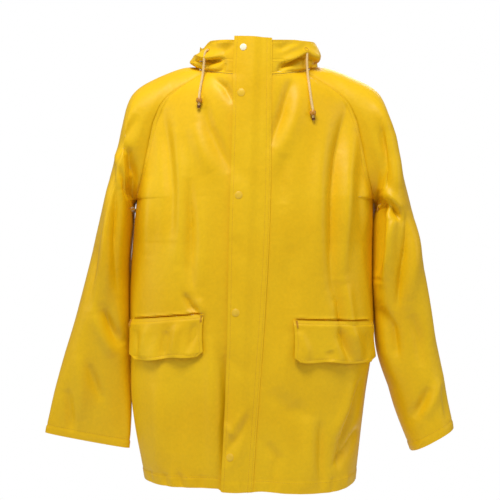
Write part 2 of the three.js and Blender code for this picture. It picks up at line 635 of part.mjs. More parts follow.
// Storm flap: the stand is sewn down, the flap folds away from it.
const flapLow = 0;
const flapHigh = collarTop - 1;
const facingLow = hemTurn + 2;
const facingHigh = frontLength - 14;
const behindFront = () => -(CLOTH + EASE);
const flapEdge = (z) => foldX(z) - SEAM;
const flapDrill = (radius) => drill(radius, studPlaces);
const standLift = () => foldLift;
const innerLift = () => flapLift - CLOTH - LAYER;
add("storm_flap", cutFrom(strip(freeX, flapEdge, flapLiftAt, flapLow, flapHigh, 5), flapDrill(post.hole)), "coated");
add("storm_flap_facing", cutFrom(
  strip((z) => freeX(z) + 2, (z) => foldX(z) - flapRamp - 1, innerLift, flapLow + 3, flapHigh - 3, 3),
  flapDrill(post.hole)), "coated");
add("storm_flap_stand", strip((z) => foldX(z) + SEAM, standX, standLift, flapLow, flapHigh, 2), "coated");
add("front_facing_right", cutFrom(
  strip((z) => freeX(z) - 4, (z) => underEdge(z) - 2, behindFront, facingLow, facingHigh, 2),
  drill(post.hole, frontPlaces)), "coated");
add("front_facing_left", strip((z) => leftEdge(z) + 1, standX, behindFront, facingLow, facingHigh, 2), "coated");

// Press studs, each in four pieces: cap and socket grip the flap, stud and rivet grip the right front.
const { radius, thick } = cap;
studPlaces.forEach(({ point, normal }, i) => {
  const n = i + 1;
  const face = flapLift + CLOTH / 2 + LAYER;
  const seat = flapLift - 1.5 * CLOTH - 2 * LAYER;
  const behind = (i === 0 ? CLOTH / 2 : 1.5 * CLOTH + EASE) + 2 * LAYER;
  const front = CLOTH / 2 + LAYER;
  const put = (name, profile, slot) => add(`${name}_${n}`, aimed(turned(profile), normal, point), slot);
  put("snap_cap", [[0, seat + LAYER], [post.radius, seat + LAYER], [post.radius, face], [radius, face],
    [radius - 0.6, face + thick * 0.7], [radius * 0.6, face + thick], [0, face + thick]], "snap");
  const { recess, deep } = socket;
  put("snap_socket", [[recess, seat - socket.thick], [socket.radius, seat - socket.thick],
    [socket.radius, seat], [0, seat], [0, seat - socket.thick + deep], [recess, seat - socket.thick + deep],
    [recess, seat - socket.thick]], "snap");
  put("snap_stud", [[0, front], [stud.radius, front], [stud.radius, front + stud.thick],
    [stud.knob, front + stud.thick], [stud.knob, front + stud.thick + stud.rise],
    [0, front + stud.thick + stud.rise]], "snap");
  put("snap_rivet", [[0, -behind - stud.thick], [stud.radius, -behind - stud.thick], [stud.radius, -behind],
    [post.radius, -behind], [post.radius, front - LAYER], [0, front - LAYER]], "snap");
});

// Hood: the stretch round the neck stays, the pouch behind it swings up.
const startAngle = (edge) => (row) =>
  Math.asin(Math.abs(edge(frontLength + row * collarRise.front)) / neckHalf);
const tapeEdge = (z) => foldX(z) - 4;
const collarEdge = { left: startAngle((z) => Math.max(foldX(z) - 2, 1)), right: () => -startAngle(tapeEdge)(0) };
const tunnel = (casing.low + casing.high) / 2; // the cord runs in the middle of the tunnel
function exitPlace(name, side) {
  const surface = (r, c) => collarPoint(side, c, r);
  const point = surface(tunnel, casing.exit[name]);
  return { point, normal: outward(surface, tunnel, casing.exit[name], neckMiddle) };
}
for (const [name, side] of sides) {
  const holes = drill(cord.eyelet, [exitPlace(name, side)]);
  if (name === "right") holes.push(...drill(post.hole, [studPlaces[0]]));
  addCollar(name, side, collarEdge[name], holes);
  addCasing(name, side);
  add(`drawcord_end_${name}`, cordOf(cordEnds[name]), "cord");
  add(`drawcord_run_${name}`, cordOf(runPath(name, side)), "cord");
  const [place, above] = beadPlaces[name].map((p) => V(...p));
  const ring = turned([[bead.bore, -bead.high / 2], [bead.radius - 1, -bead.high / 2], [bead.radius, -1.4],
    [bead.radius, 1.4], [bead.radius - 1, bead.high / 2], [bead.bore, bead.high / 2],
    [bead.bore, -bead.high / 2]]);
  add(`cord_bead_${name}`, aimed(ring, above.sub(place), place), "bead");
}
addPouch();

// Neck tape covers the seam inside, and the hanger loop is sewn over it at the back.
const tapeSurface = (row, col) => {
  const turn = mix(-1, 1, col) * (Math.PI - tapeStart);
  const point = neckPoint(Math.PI - Math.abs(turn), turn < 0 ? -1 : 1);
  const middle = V(0, (backDepth.neck - frontDepth.neck) / 2, point.z);
  const inset = CLOTH / 2 + LAYER + neckTape.thick / 2 + 0.8;
  return point.addScaledVector(middle.sub(point).normalize(), inset).add(V(0, 0, neckTape.up - neckTape.wide * row));
};
add("neck_tape", cloth(tapeSurface, [0, 1], steps(24), neckMiddle, () => neckTape.thick - CLOTH / 2), "lining");
const loopEnd = hanger.wide / 2;
const loopSeat = neckPoint(Math.PI - Math.asin(loopEnd / neckHalf));
const loopY = loopSeat.y - CLOTH / 2 - neckTape.thick - hanger.thick / 2 - 2 * EASE - LAYER;
const loopPath = new THREE.CatmullRomCurve3([
  V(-loopEnd, loopY, loopSeat.z), V(-loopEnd * 0.8, loopY - 0.6, loopSeat.z - hanger.drop * 0.6),
  V(0, loopY - 1.5, loopSeat.z - hanger.drop),
  V(loopEnd * 0.8, loopY - 0.6, loopSeat.z - hanger.drop * 0.6), V(loopEnd, loopY, loopSeat.z)]);
const band = new THREE.Shape();
band.moveTo(-hanger.thick / 2, -hanger.tape / 2);
band.lineTo(hanger.thick / 2, -hanger.tape / 2);
band.lineTo(hanger.thick / 2, hanger.tape / 2);
band.lineTo(-hanger.thick / 2, hanger.tape / 2);
add("hanger_loop", new THREE.ExtrudeGeometry(band, { steps: 14, extrudePath: loopPath }), "lining");

// The hanger loop's middle, where a hook bears, is the jacket's origin.
jacket.position.set(0, -(loopY - 1.5), -(loopSeat.z - hanger.drop));
export default jacket;
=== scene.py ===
import math

import bmesh
import bpy
import numpy as np
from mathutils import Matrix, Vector


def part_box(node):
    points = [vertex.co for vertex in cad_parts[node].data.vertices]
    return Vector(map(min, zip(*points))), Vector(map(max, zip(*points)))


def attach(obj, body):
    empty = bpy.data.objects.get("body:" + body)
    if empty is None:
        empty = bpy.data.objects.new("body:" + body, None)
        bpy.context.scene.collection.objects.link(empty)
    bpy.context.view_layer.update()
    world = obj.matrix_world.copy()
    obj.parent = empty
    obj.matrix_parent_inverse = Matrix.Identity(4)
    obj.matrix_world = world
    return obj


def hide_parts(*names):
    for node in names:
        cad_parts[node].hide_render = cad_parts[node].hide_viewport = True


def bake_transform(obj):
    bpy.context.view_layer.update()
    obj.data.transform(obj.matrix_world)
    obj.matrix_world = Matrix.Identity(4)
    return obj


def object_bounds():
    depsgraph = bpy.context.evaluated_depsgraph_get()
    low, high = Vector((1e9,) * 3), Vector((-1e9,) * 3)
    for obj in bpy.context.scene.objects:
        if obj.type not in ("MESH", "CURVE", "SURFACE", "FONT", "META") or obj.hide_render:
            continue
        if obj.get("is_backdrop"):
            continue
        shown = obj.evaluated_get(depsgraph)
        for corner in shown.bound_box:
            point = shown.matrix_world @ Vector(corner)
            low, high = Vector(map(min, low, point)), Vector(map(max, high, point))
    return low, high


# %% [markdown]
# # A hooded rain jacket
# The jacket is cut from a knit that has a skin of coloured polyurethane on its outer face. That cloth
# is what this lesson is about: it bends in long soft folds, it is matt but catches a broad highlight,
# and every seam in it shows as a pair of stitched lines. The frame holds the solids that the physics
# uses. Each piece below lies on the same surfaces, drawn finely and given the folds of hanging cloth.

# %% The frame
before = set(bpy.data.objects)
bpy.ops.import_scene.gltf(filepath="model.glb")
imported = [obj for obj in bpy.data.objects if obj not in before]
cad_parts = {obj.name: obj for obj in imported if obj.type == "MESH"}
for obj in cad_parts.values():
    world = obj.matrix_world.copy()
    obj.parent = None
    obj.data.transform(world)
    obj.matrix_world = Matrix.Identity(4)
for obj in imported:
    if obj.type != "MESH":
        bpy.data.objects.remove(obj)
cad_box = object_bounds()
MM = 0.001
LOOP = np.array([0.0, 68.604, 824.818])  # the hanger loop's middle, counted from the hem, in mm


def place(points):
    """Points drawn in millimetres from the hem, in metres from the hanger loop."""
    return (np.asarray(points, float) - LOOP) * MM


# %% [markdown]
# ## Camera, light and floor
# A shop shows a jacket on a form, square to the camera and from some way off, so that its width and
# length read true. A long lens at the height of the waist does that. The light is one broad soft
# panel above and in front, so the chest is bright and the hem is darker. Weak panels at the sides and
# a pale room around fill the folds, and a panel behind lifts the back and the shoulders' edges.

# %% Camera
def into_scene(name, data):
    """A new object that holds the data, linked to the scene."""
    made = bpy.data.objects.new(name, data)
    bpy.context.scene.collection.objects.link(made)
    return made


CAMERA_SPOT = [-10, -2900, 454]  # in mm from the hem, at the height of the waist
camera = into_scene("camera", bpy.data.cameras.new("camera"))
camera.location = place(CAMERA_SPOT)
camera.rotation_euler = (math.radians(90), 0, 0)
camera.data.lens = 104
camera.data.sensor_width = 36
bpy.context.scene.camera = camera
print("camera at", [round(c, 3) for c in camera.location], "lens", camera.data.lens)


# %% Soft panels
JACKET_MIDDLE = Vector((0, 0, -0.3))


def soft_panel(name, spot, size, power):
    """A rectangular area lamp that faces the jacket, in metres and watts."""
    lamp = bpy.data.lights.new(name, "AREA")
    lamp.shape = "RECTANGLE"
    lamp.size, lamp.size_y = size
    lamp.energy = power
    holder = into_scene(name, lamp)
    holder.location = spot
    holder.rotation_euler = (holder.location - JACKET_MIDDLE).to_track_quat("Z", "Y").to_euler()
    print(name, power, "W")


soft_panel("panel_above", (-0.25, -1.45, 1.75), (1.0, 0.7), 50)
soft_panel("panel_left", (-2.3, -0.7, 0.3), (0.6, 1.2), 8)
soft_panel("panel_right", (2.4, -0.9, 0.4), (0.6, 1.2), 8)
soft_panel("panel_behind", (0.6, 2.4, 1.4), (1.4, 1.0), 34)


# %% Room and floor
def linear(code):
    """An sRGB hex colour as linear numbers, with alpha."""
    parts = [int(code[i:i + 2], 16) / 255 for i in (1, 3, 5)]
    return [c / 12.92 if c <= 0.04045 else ((c + 0.055) / 1.055) ** 2.4 for c in parts] + [1.0]


def add_node(tree, kind, links=None, ramp=(), **settings):
    """One node. Its inputs, by name or number, get values or are joined to sockets.

    A ramp of (position, colour) pairs fills a colour ramp.
    """
    made = tree.nodes.new(kind)
    for key, value in settings.items():
        setattr(made, key, value)
    for (position, code), element in zip(ramp, made.color_ramp.elements if ramp else ()):
        element.position, element.color = position, linear(code)
    for key, value in (links or {}).items():
        if isinstance(value, bpy.types.NodeSocket):
            tree.links.new(value, made.inputs[key])
        else:
            made.inputs[key].default_value = value
    return made


AMBIENT = 0.31  # how strongly the pale room lights the cloth; the lens sees it as plain white
WHITE = linear("#FFFFFF")
room = bpy.data.worlds.new("pale_room")
room.use_nodes = True
tree = room.node_tree
ambient = tree.nodes["Background"]
ambient.inputs["Strength"].default_value = AMBIENT
ambient.inputs["Color"].default_value = WHITE
backdrop = add_node(tree, "ShaderNodeBackground", {"Color": WHITE, "Strength": 1.0})
seen = add_node(tree, "ShaderNodeLightPath").outputs["Is Camera Ray"]
either = add_node(tree, "ShaderNodeMixShader", {0: seen, 1: ambient.outputs[0], 2: backdrop.outputs[0]})
tree.links.new(either.outputs[0], tree.nodes["World Output"].inputs["Surface"])
bpy.context.scene.world = room
bpy.context.scene.view_settings.view_transform = "Standard"

FLOOR_HEIGHT = -620  # in mm from the hem
FLOOR_RADIUS = 2.6  # in metres
FLOOR_SIDES = 96


def pale_floor():
    """A disc of smooth off-white paper, far enough down that the jacket hangs clear of it."""
    paper = bpy.data.materials.new("pale_paper")
    paper.use_nodes = True
    shader = paper.node_tree.nodes["Principled BSDF"]
    shader.inputs["Base Color"].default_value = linear("#FAFAF9")
    shader.inputs["Roughness"].default_value = 0.9
    low = place([0, 0, FLOOR_HEIGHT])[2]
    turns = np.linspace(0, 2 * math.pi, FLOOR_SIDES, endpoint=False)
    edge = [(FLOOR_RADIUS * math.cos(t), FLOOR_RADIUS * math.sin(t), low) for t in turns]
    mesh = bpy.data.meshes.new("pale_floor")
    mesh.from_pydata(edge, [], [tuple(range(FLOOR_SIDES))])
    mesh.materials.append(paper)
    into_scene("pale_floor", mesh)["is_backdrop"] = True


pale_floor()

# %% [markdown]
# ## The drawcord
# The cord runs in a tunnel round the hood's edge and comes out of an eyelet on each side of the
# throat. Both ends are in full view: a 4.6 mm braid that hangs against the chest, a moulded bead that
# stops it, and a short tail ended by a knot. From eyelet to tip they are about 154 mm on the wearer's
# left and 129 mm on the right. Their routes are given first, and their lengths printed.

# %% Cord routes
CORD = 2.3  # the cord's radius in mm
cord_routes = {
    "left": [(94.6, -76.5, 843), (98.6, -79.6, 843.6), (100.8, -82.2, 840), (101.2, -84, 833),
             (101, -85.5, 822), (101.5, -87.5, 808), (102.6, -93.5, 792), (104, -100.4, 779),
             (105.5, -108.6, 765), (108, -115.6, 743), (110.2, -119, 730), (110.9, -120.6, 724),
             (111.1, -120.9, 718), (111.3, -121.2, 712), (112.4, -119.8, 704)],
    "right": [(-89.4, -82.4, 843), (-93.6, -86, 843.4), (-97, -88.6, 839), (-98.5, -89.5, 831),
              (-99.4, -90, 819), (-100.4, -91.5, 807), (-101.6, -94.5, 796), (-103, -99, 785),
              (-105, -104, 774), (-107, -111, 760), (-107.9, -117, 748.5), (-108, -117.6, 742.5),
              (-108.1, -118.1, 736.5), (-108.6, -116.8, 728)],
}
bead_stops = {"left": 12, "right": 11}  # the point of each route that its bead's middle sits on


def smooth_route(points, steps=8):
    """A Catmull-Rom line through the points, evenly fine."""
    p = np.asarray(points, float)
    p = np.vstack([2 * p[0] - p[1], p, 2 * p[-1] - p[-2]])
    t = np.linspace(0, 1, steps, endpoint=False)[:, None]
    rows = []
    for a, b, c, d in zip(p, p[1:], p[2:], p[3:]):
        rows.append(0.5 * (2 * b + (c - a) * t + (2 * a - 5 * b + 4 * c - d) * t ** 2
                           + (3 * b - a - 3 * c + d) * t ** 3))
    return np.vstack(rows + [p[-2][None]])


def steps(points, axis=0):
    """The distances between neighbouring points along an axis."""
    return np.linalg.norm(np.diff(points, axis=axis), axis=-1)


for name, stops in cord_routes.items():
    print("cord", name, "length mm", round(float(steps(smooth_route(stops)).sum()), 1))

# %% [markdown]
# ## Finishes
# Four things make up the jacket. The coated cloth is a polyester knit under about 0.1 mm of
# polyurethane: the coat gives a satin surface with a faint pebble where the knit shows through. Its
# inner face is the bare off-white knit. The snaps are moulded acetal in the cloth's colour, except the
# top cap, which is painted near white as a painted highlight. The bead is a clear amber-brown
# plastic. The cord and the threads are spun polyester.


# %% Starting a finish
def new_finish(name, **values):
    made = bpy.data.materials.new(name)
    made.use_nodes = True
    shader = made.node_tree.nodes["Principled BSDF"]
    for key, value in values.items():
        shader.inputs[key.replace("_", " ")].default_value = value
    return made, made.node_tree, shader


# %% Coated cloth, polyurethane on knit
def coated_cloth():
    """Satin yellow: broad soft highlights over a faint pebble, a little dulled by handling."""
    made, tree, shader = new_finish("polyurethane_coated_knit", Roughness=0.48, Specular_IOR_Level=0.3)
    spot = add_node(tree, "ShaderNodeTexCoord").outputs["Object"]
    broad = add_node(tree, "ShaderNodeTexNoise", {"Vector": spot, "Scale": 5.5, "Detail": 3.0})
    tint = add_node(tree, "ShaderNodeValToRGB", {"Fac": broad.outputs["Fac"]},
                    ramp=((0.3, "#EDB903"), (0.72, "#F5C70D")))
    specks = add_node(tree, "ShaderNodeTexNoise", {"Vector": spot, "Scale": 160.0, "Detail": 2.0})
    soil = add_node(tree, "ShaderNodeMapRange",
                    {"Value": specks.outputs["Fac"], 1: 0.3, 2: 0.75, 3: 1.0, 4: 0.94})
    worn = add_node(tree, "ShaderNodeMix",
                    {0: 1.0, 6: tint.outputs["Color"], 7: soil.outputs["Result"]},
                    data_type="RGBA", blend_type="MULTIPLY")
    tree.links.new(worn.outputs[2], shader.inputs["Base Color"])
    gloss = add_node(tree, "ShaderNodeMapRange",
                     {"Value": broad.outputs["Fac"], 1: 0.3, 2: 0.7, 3: 0.43, 4: 0.54})
    tree.links.new(gloss.outputs["Result"], shader.inputs["Roughness"])
    # the knit is 1.3 mm from loop to loop; it is drawn at 1.8 mm so that its pebble can show
    pebble = add_node(tree, "ShaderNodeTexVoronoi", {"Vector": spot, "Scale": 550.0})
    crumple = add_node(tree, "ShaderNodeTexNoise",
                       {"Vector": spot, "Scale": 38.0, "Detail": 4.0, "Distortion": 0.6})
    fine = add_node(tree, "ShaderNodeBump", {"Height": pebble.outputs["Distance"], "Strength": 0.10,
                                             "Distance": 0.0005})
    rough = add_node(tree, "ShaderNodeBump", {"Height": crumple.outputs["Fac"], "Strength": 0.22,
                                              "Distance": 0.004, "Normal": fine.outputs["Normal"]})
    tree.links.new(rough.outputs["Normal"], shader.inputs["Normal"])
    return made


# %% Knit lining, bare polyester
def knit_lining():
    """Matt off-white, with a sheen at grazing angles and the ribs of its columns of loops."""
    made, tree, shader = new_finish("bare_polyester_knit", Roughness=0.9, Sheen_Weight=0.25)
    grid = add_node(tree, "ShaderNodeTexCoord").outputs["UV"]
    # the loops stand 2.4 mm apart, drawn a little coarse so that the columns show
    columns = add_node(tree, "ShaderNodeTexWave", {"Vector": grid, "Scale": 130.0, "Distortion": 0.6,
                                                   "Detail": 1.0}, bands_direction="X")
    courses = add_node(tree, "ShaderNodeTexWave", {"Vector": grid, "Scale": 160.0, "Distortion": 0.8,
                                                   "Detail": 1.0}, bands_direction="Y")
    both = add_node(tree, "ShaderNodeMix",
                    {0: 0.5, 2: columns.outputs["Fac"], 3: courses.outputs["Fac"]},
                    data_type="FLOAT")
    tint = add_node(tree, "ShaderNodeValToRGB", {"Fac": both.outputs[0]},
                    ramp=((0.0, "#CFC4A2"), (1.0, "#EFE8D4")))
    tree.links.new(tint.outputs["Color"], shader.inputs["Base Color"])
    ribs = add_node(tree, "ShaderNodeBump",
                    {"Height": both.outputs[0], "Strength": 0.4, "Distance": 0.0006})
    tree.links.new(ribs.outputs["Normal"], shader.inputs["Normal"])
    return made


# %% Moulded plastics
def moulded(name, low, high, roughness):
    """Moulded plastic: one sharp highlight on a skin that is very slightly uneven."""
    made, tree, shader = new_finish(name, Roughness=roughness, Specular_IOR_Level=0.5)
    spot = add_node(tree, "ShaderNodeTexCoord").outputs["Object"]
    cloud = add_node(tree, "ShaderNodeTexNoise", {"Vector": spot, "Scale": 220.0, "Detail": 2.0})
    tint = add_node(tree, "ShaderNodeValToRGB", {"Fac": cloud.outputs["Fac"]},
                    ramp=((0.0, low), (1.0, high)))
    tree.links.new(tint.outputs["Color"], shader.inputs["Base Color"])
    skin = add_node(tree, "ShaderNodeBump",
                    {"Height": cloud.outputs["Fac"], "Strength": 0.06, "Distance": 0.0004})
    tree.links.new(skin.outputs["Normal"], shader.inputs["Normal"])
    return made


# %% Threads and braid
def spun(name, low, high, turn):
    """Matt yarn along a piece. V runs along it, so sloping bands 1.5 mm apart are its strands."""
    made, tree, shader = new_finish(name, Roughness=0.82, Sheen_Weight=0.2)
    grid = add_node(tree, "ShaderNodeTexCoord").outputs["UV"]
    strands = []
    for slope in (turn, -turn):
        lay = add_node(tree, "ShaderNodeMapping", {"Vector": grid, "Rotation": (0, 0, slope)})
        bands = add_node(tree, "ShaderNodeTexWave", {"Vector": lay.outputs["Vector"], "Scale": 210.0,
                                                     "Distortion": 0.4}, bands_direction="X")
        strands.append(bands.outputs["Fac"])
    plait = add_node(tree, "ShaderNodeMath", {0: strands[0], 1: strands[1]}, operation="MAXIMUM")
    tint = add_node(tree, "ShaderNodeValToRGB", {"Fac": plait.outputs["Value"]},
                    ramp=((0.0, low), (1.0, high)))
    tree.links.new(tint.outputs["Color"], shader.inputs["Base Color"])
    relief = add_node(tree, "ShaderNodeBump",
                      {"Height": plait.outputs["Value"], "Strength": 0.5, "Distance": 0.0006})
    tree.links.new(relief.outputs["Normal"], shader.inputs["Normal"])
    return made


coated = coated_cloth()
knit = knit_lining()
snap_plastic = moulded("moulded_acetal_in_cloth_colour", "#E6B41C", "#F2C93A", 0.38)
# the top snap's cap is painted near white: a painted highlight of the light on it, not its own colour
snap_painted_highlight = moulded("acetal_painted_highlight", "#FFF0C4", "#FFF9E4", 0.25)
amber = moulded("moulded_amber_plastic", "#A9660F", "#DB9A2C", 0.3)
dark_tip = moulded("singed_cord_tip", "#5A3310", "#7A4A1C", 0.7)
braid = spun("braided_polyester_cord", "#C79A4E", "#F0CF8C", math.radians(38))
thread = spun("yellow_sewing_thread", "#C98F06", "#E0A915", math.radians(60))
print("finishes:", len(bpy.data.materials))

# %% [markdown]
# ## Shapes of the hanging jacket
# Cloth that hangs on a form is easiest to draw as a surface with two directions, up and across. The
# body is a set of level curves from hem to neck: each starts square to the centre line and turns into
# the side. The same numbers shape the solids in the frame, so every piece lands on its solid.


# %% Smooth numbers
def through(stations, at):
    """A smooth value through (position, value) stations; a value may be a row of numbers."""
    at = np.asarray(at, float)
    xs = np.array([s[0] for s in stations], float)
    ys = np.array([s[1] for s in stations], float)
    last = len(xs) - 1
    before = np.maximum(np.arange(len(xs)) - 1, 0)
    after = np.minimum(np.arange(len(xs)) + 1, last)
    run = (xs[after] - xs[before]).reshape((-1,) + (1,) * (ys.ndim - 1))
    slope = (ys[after] - ys[before]) / run
    held = np.clip(at, xs[0], xs[-1])
    i = np.clip(np.searchsorted(xs, held, side="right") - 1, 0, last - 1)
    h = xs[i + 1] - xs[i]
    t = (held - xs[i]) / h
    if ys.ndim > 1:
        t, h = t[..., None], h[..., None]
    near = ys[i] * (2 * t ** 3 - 3 * t ** 2 + 1) + slope[i] * h * (t ** 3 - 2 * t ** 2 + t)
    return near + ys[i + 1] * (3 * t ** 2 - 2 * t ** 3) + slope[i + 1] * h * (t ** 3 - t ** 2)


def smooth(t, low=0.0, high=1.0):
    """0 below low, 1 above high, and an even rise between them."""
    t = np.clip((np.asarray(t, float) - low) / (high - low), 0, 1)
    return t * t * (3 - 2 * t)


def mix(a, b, t):
    return a + (b - a) * t


def stack(x, y, z):
    return np.stack(np.broadcast_arrays(x, y, z), axis=-1).astype(float)


# %% The body's outline, in mm from the hem
CLOTH = 1.2
FRONT_LENGTH, ARMPIT, NECK_RISE = 790.0, 554.0, 52.0
BACK_LENGTH = FRONT_LENGTH + NECK_RISE
CHEST, HIP, HEM = 236.0, 242.0, 210.0
NECK_HALF = 104.0
FRONT_CORNER, BACK_CORNER = math.radians(67), math.radians(118)
BACK_NECK, FRONT_NECK = 80.0, 131.0
CHEST_RISE = FRONT_LENGTH - ARMPIT
NECK_CENTRE = (BACK_NECK - FRONT_NECK) / 2


def drift(z):
    """How far the body has swung to one side at a height."""
    return through([(0, -10), (0.28 * ARMPIT, -14), (0.5 * ARMPIT, -7), (0.72 * ARMPIT, -7),
                    (ARMPIT, 0)], z)


def half_width(z):
    return through([(0, HEM), (0.28 * ARMPIT, mix(HEM, HIP, 0.7)), (0.5 * ARMPIT, HIP),
                    (0.76 * ARMPIT, HIP - 1),
                    (ARMPIT, CHEST)], z)


def front_line(z):
    return -through([(0, 144), (ARMPIT, 139), (FRONT_LENGTH, FRONT_NECK)], z)


def back_line(z):
    return through([(0, 112), (0.55 * ARMPIT, 117), (ARMPIT, 120), (BACK_LENGTH - 100, 112),
                    (BACK_LENGTH, BACK_NECK)], z)


def neck_point(angle, side=1.0):
    """The neck seam, from 0 at the centre front to a half turn at the centre back."""
    angle = np.asarray(angle, float)
    height = FRONT_LENGTH + NECK_RISE * (1 - np.cos(angle)) / 2
    depth = NECK_CENTRE - (BACK_NECK + FRONT_NECK) / 2 * np.cos(angle)
    return stack(side * NECK_HALF * np.sin(angle), depth, height)


def seam_rows(rows):
    return [(i / (len(rows) - 1), row) for i, row in enumerate(rows)]


front_seam = seam_rows([(1, 0, 0), (0.979, -36, 0.032), (0.9, -58, 0.18), (0.8, -66, 0.44),
                        (0.71, -70, 0.64),
                        (0.53, -71, 0.8), (0, float(neck_point(FRONT_CORNER)[1]), 1)])
back_seam = seam_rows([(1, 0, 0), (0.986, 40, 0.044), (0.903, 70, 0.204), (0.785, 88, 0.405),
                       (0.62, 94, 0.61),
                       (0.33, 78, 0.82), (0, float(neck_point(BACK_CORNER)[1]), 1)])
front_face = {"seam": front_seam, "corner": FRONT_CORNER, "line": front_line, "top": FRONT_LENGTH,
              "middle": 0.0,
              "easy": ((440, 0), (480, -4), (530, -22), (580, -46), (630, -61), (700, -69))}
back_face = {"seam": back_seam, "corner": BACK_CORNER, "line": back_line, "top": BACK_LENGTH,
             "middle": math.pi,
             "easy": ((440, 0), (480, 5), (530, 27), (580, 57), (630, 76), (700, 90))}


def raglan(face, side, t):
    """The seam of a raglan sleeve, from the armpit at 0 to the neck at 1."""
    row = through(face["seam"], t)
    neck = neck_point(face["corner"])
    return stack(side * mix(neck[0], CHEST, row[..., 0]), row[..., 1],
                 mix(ARMPIT, neck[2], row[..., 2]))


EASE_FROM, EASE_OUT = 470, (640, 700)  # heights where the eased depth starts and fades


def soft_depth(face, z, depth):
    """A panel's depth beside its edge, without the edge's own sharp step at the armpit."""
    return np.where(z < EASE_FROM, depth, mix(through(face["easy"], z), depth, smooth(z, *EASE_OUT)))


SIDE_BOW, CHEST_BOW = 0.66, 0.5  # how square a level curve turns into the side, low and high
EDGE_LEAN = 0.22


def body_point(face, side, v, s):
    """A spot on a body panel by its row and share.

    v is 0 at the hem, 1 at the armpit and 2 at the neck; s runs from the centre line to the edge.
    """
    v, s = np.broadcast_arrays(np.asarray(v, float), np.asarray(s, float))
    side = np.where(s < 0, -side, side)
    s = np.abs(s)
    low = v <= 1
    up = through(face["seam"], np.maximum(v - 1, 0))[..., 2]
    z = np.where(low, v * ARMPIT, mix(ARMPIT, face["top"], up))
    plain = stack(drift(z) + side * half_width(z), 0, z)
    edge = np.where(low[..., None], plain, raglan(face, side, np.maximum(v - 1, 0)))
    soft = edge.copy()
    soft[..., 1] = soft_depth(face, z, edge[..., 1])
    centre = stack(drift(z), face["line"](z), z)
    high = smooth(z, ARMPIT - 60, 700)
    bow = mix(SIDE_BOW, CHEST_BOW, high)
    near_centre = stack(mix(centre[..., 0], soft[..., 0], bow), centre[..., 1], centre[..., 2])
    near_edge = stack(mix(soft[..., 0], centre[..., 0], EDGE_LEAN * high),
                      mix(soft[..., 1], centre[..., 1], bow),
                      soft[..., 2])
    t = s[..., None]
    curve = ((1 - t) ** 3 * centre + 3 * (1 - t) ** 2 * t * near_centre
             + 3 * (1 - t) * t ** 2 * near_edge
             + t ** 3 * soft) + t ** 6 * (edge - soft)
    ring = neck_point(mix(face["middle"], face["corner"], s), side)
    to_neck = smooth(v, 1.55, 2)[..., None]
    corner = neck_point(face["corner"], side)
    return mix(curve, ring, to_neck) + (edge - corner) * to_neck * t ** 4


def share_at(face, side, v, x):
    """The share s at which row v passes x, found by halving."""
    v, x = np.broadcast_arrays(np.asarray(v, float), np.asarray(x, float))
    low, high = np.full(v.shape, -0.3), np.ones(v.shape)
    for _ in range(18):
        middle = (low + high) / 2
        short = side * (body_point(face, side, v, middle)[..., 0] - x) < 0
        low, high = np.where(short, middle, low), np.where(short, high, middle)
    return (low + high) / 2


# %% The hood's collar, and any spot on the front
COLLAR_HEIGHTS = (68, 62, 46, 40)  # from the centre front to the back, in mm
COLLAR_LEANS = (-5, -2, 6, 14)  # how far its edge stands out from its foot
COLLAR_TOP = FRONT_LENGTH + COLLAR_HEIGHTS[0]


def round_collar(values, angle):
    """One of four values, smoothly, by how far round the neck the angle is."""
    return through([(share * BACK_CORNER, value) for share, value in zip((0, 0.4, 0.76, 1), values)],
                   angle)


def collar_point(side, angle, u):
    """The collar before it is crumpled, from its foot at u = 0 to its edge at 1."""
    angle, u = np.broadcast_arrays(np.asarray(angle, float), np.asarray(u, float))
    foot = neck_point(angle, side) + [0, 0, CLOTH / 2 + 0.5]
    away = stack(side * np.sin(angle), -np.cos(angle), 0)
    back = 48 * smooth(angle / BACK_CORNER, 0.72, 1.02)
    puff = 9 * np.sin(np.pi * u) * smooth(angle / BACK_CORNER, 0.25, 0.7)
    edge = foot + away * round_collar(COLLAR_LEANS, angle)[..., None]
    edge = edge + stack(0, back, round_collar(COLLAR_HEIGHTS, angle))
    return mix(foot, edge, u[..., None]) + away * puff[..., None]


def front_point(x, z):
    """The spot on the front, or on the collar above it, at x and height z."""
    x, z = np.broadcast_arrays(np.asarray(x, float), np.asarray(z, float))
    side = np.where(x < drift(z), -1.0, 1.0)
    v = np.where(z < ARMPIT, z / ARMPIT, 1 + (z - ARMPIT) / CHEST_RISE)
    for _ in range(7):
        spot = body_point(front_face, side, v, share_at(front_face, side, v, x))
        v = np.clip(v + (z - spot[..., 2]) / np.where(z < ARMPIT, ARMPIT, CHEST_RISE), 0, 2)
    body = body_point(front_face, side, v, share_at(front_face, side, v, x))
    angle = np.arcsin(np.clip(np.abs(x) / NECK_HALF, 0, 1))
    u = (z - neck_point(angle)[..., 2]) / round_collar(COLLAR_HEIGHTS, angle)
    collar = collar_point(side, angle, u)
    collar[..., 0] = x
    return np.where((z > FRONT_LENGTH + 0.6)[..., None], collar, body)


# %% [markdown]
# ## Folds
# A fold is a stroke: a line on the cloth with a width and a height, highest along its middle and gone
# at its ends. A stroke of negative height is a valley. They are placed where the weight of
# the jacket pulls: from the neck seam down to the storm flap, from the armpits down over the hips,
# and as small puckers along the hem. The same strokes shape the front and what lies on it.


# %% Strokes
FOLD_GAIN = 1.95  # all folds stand this much deeper than written, which suits a stiff coated cloth


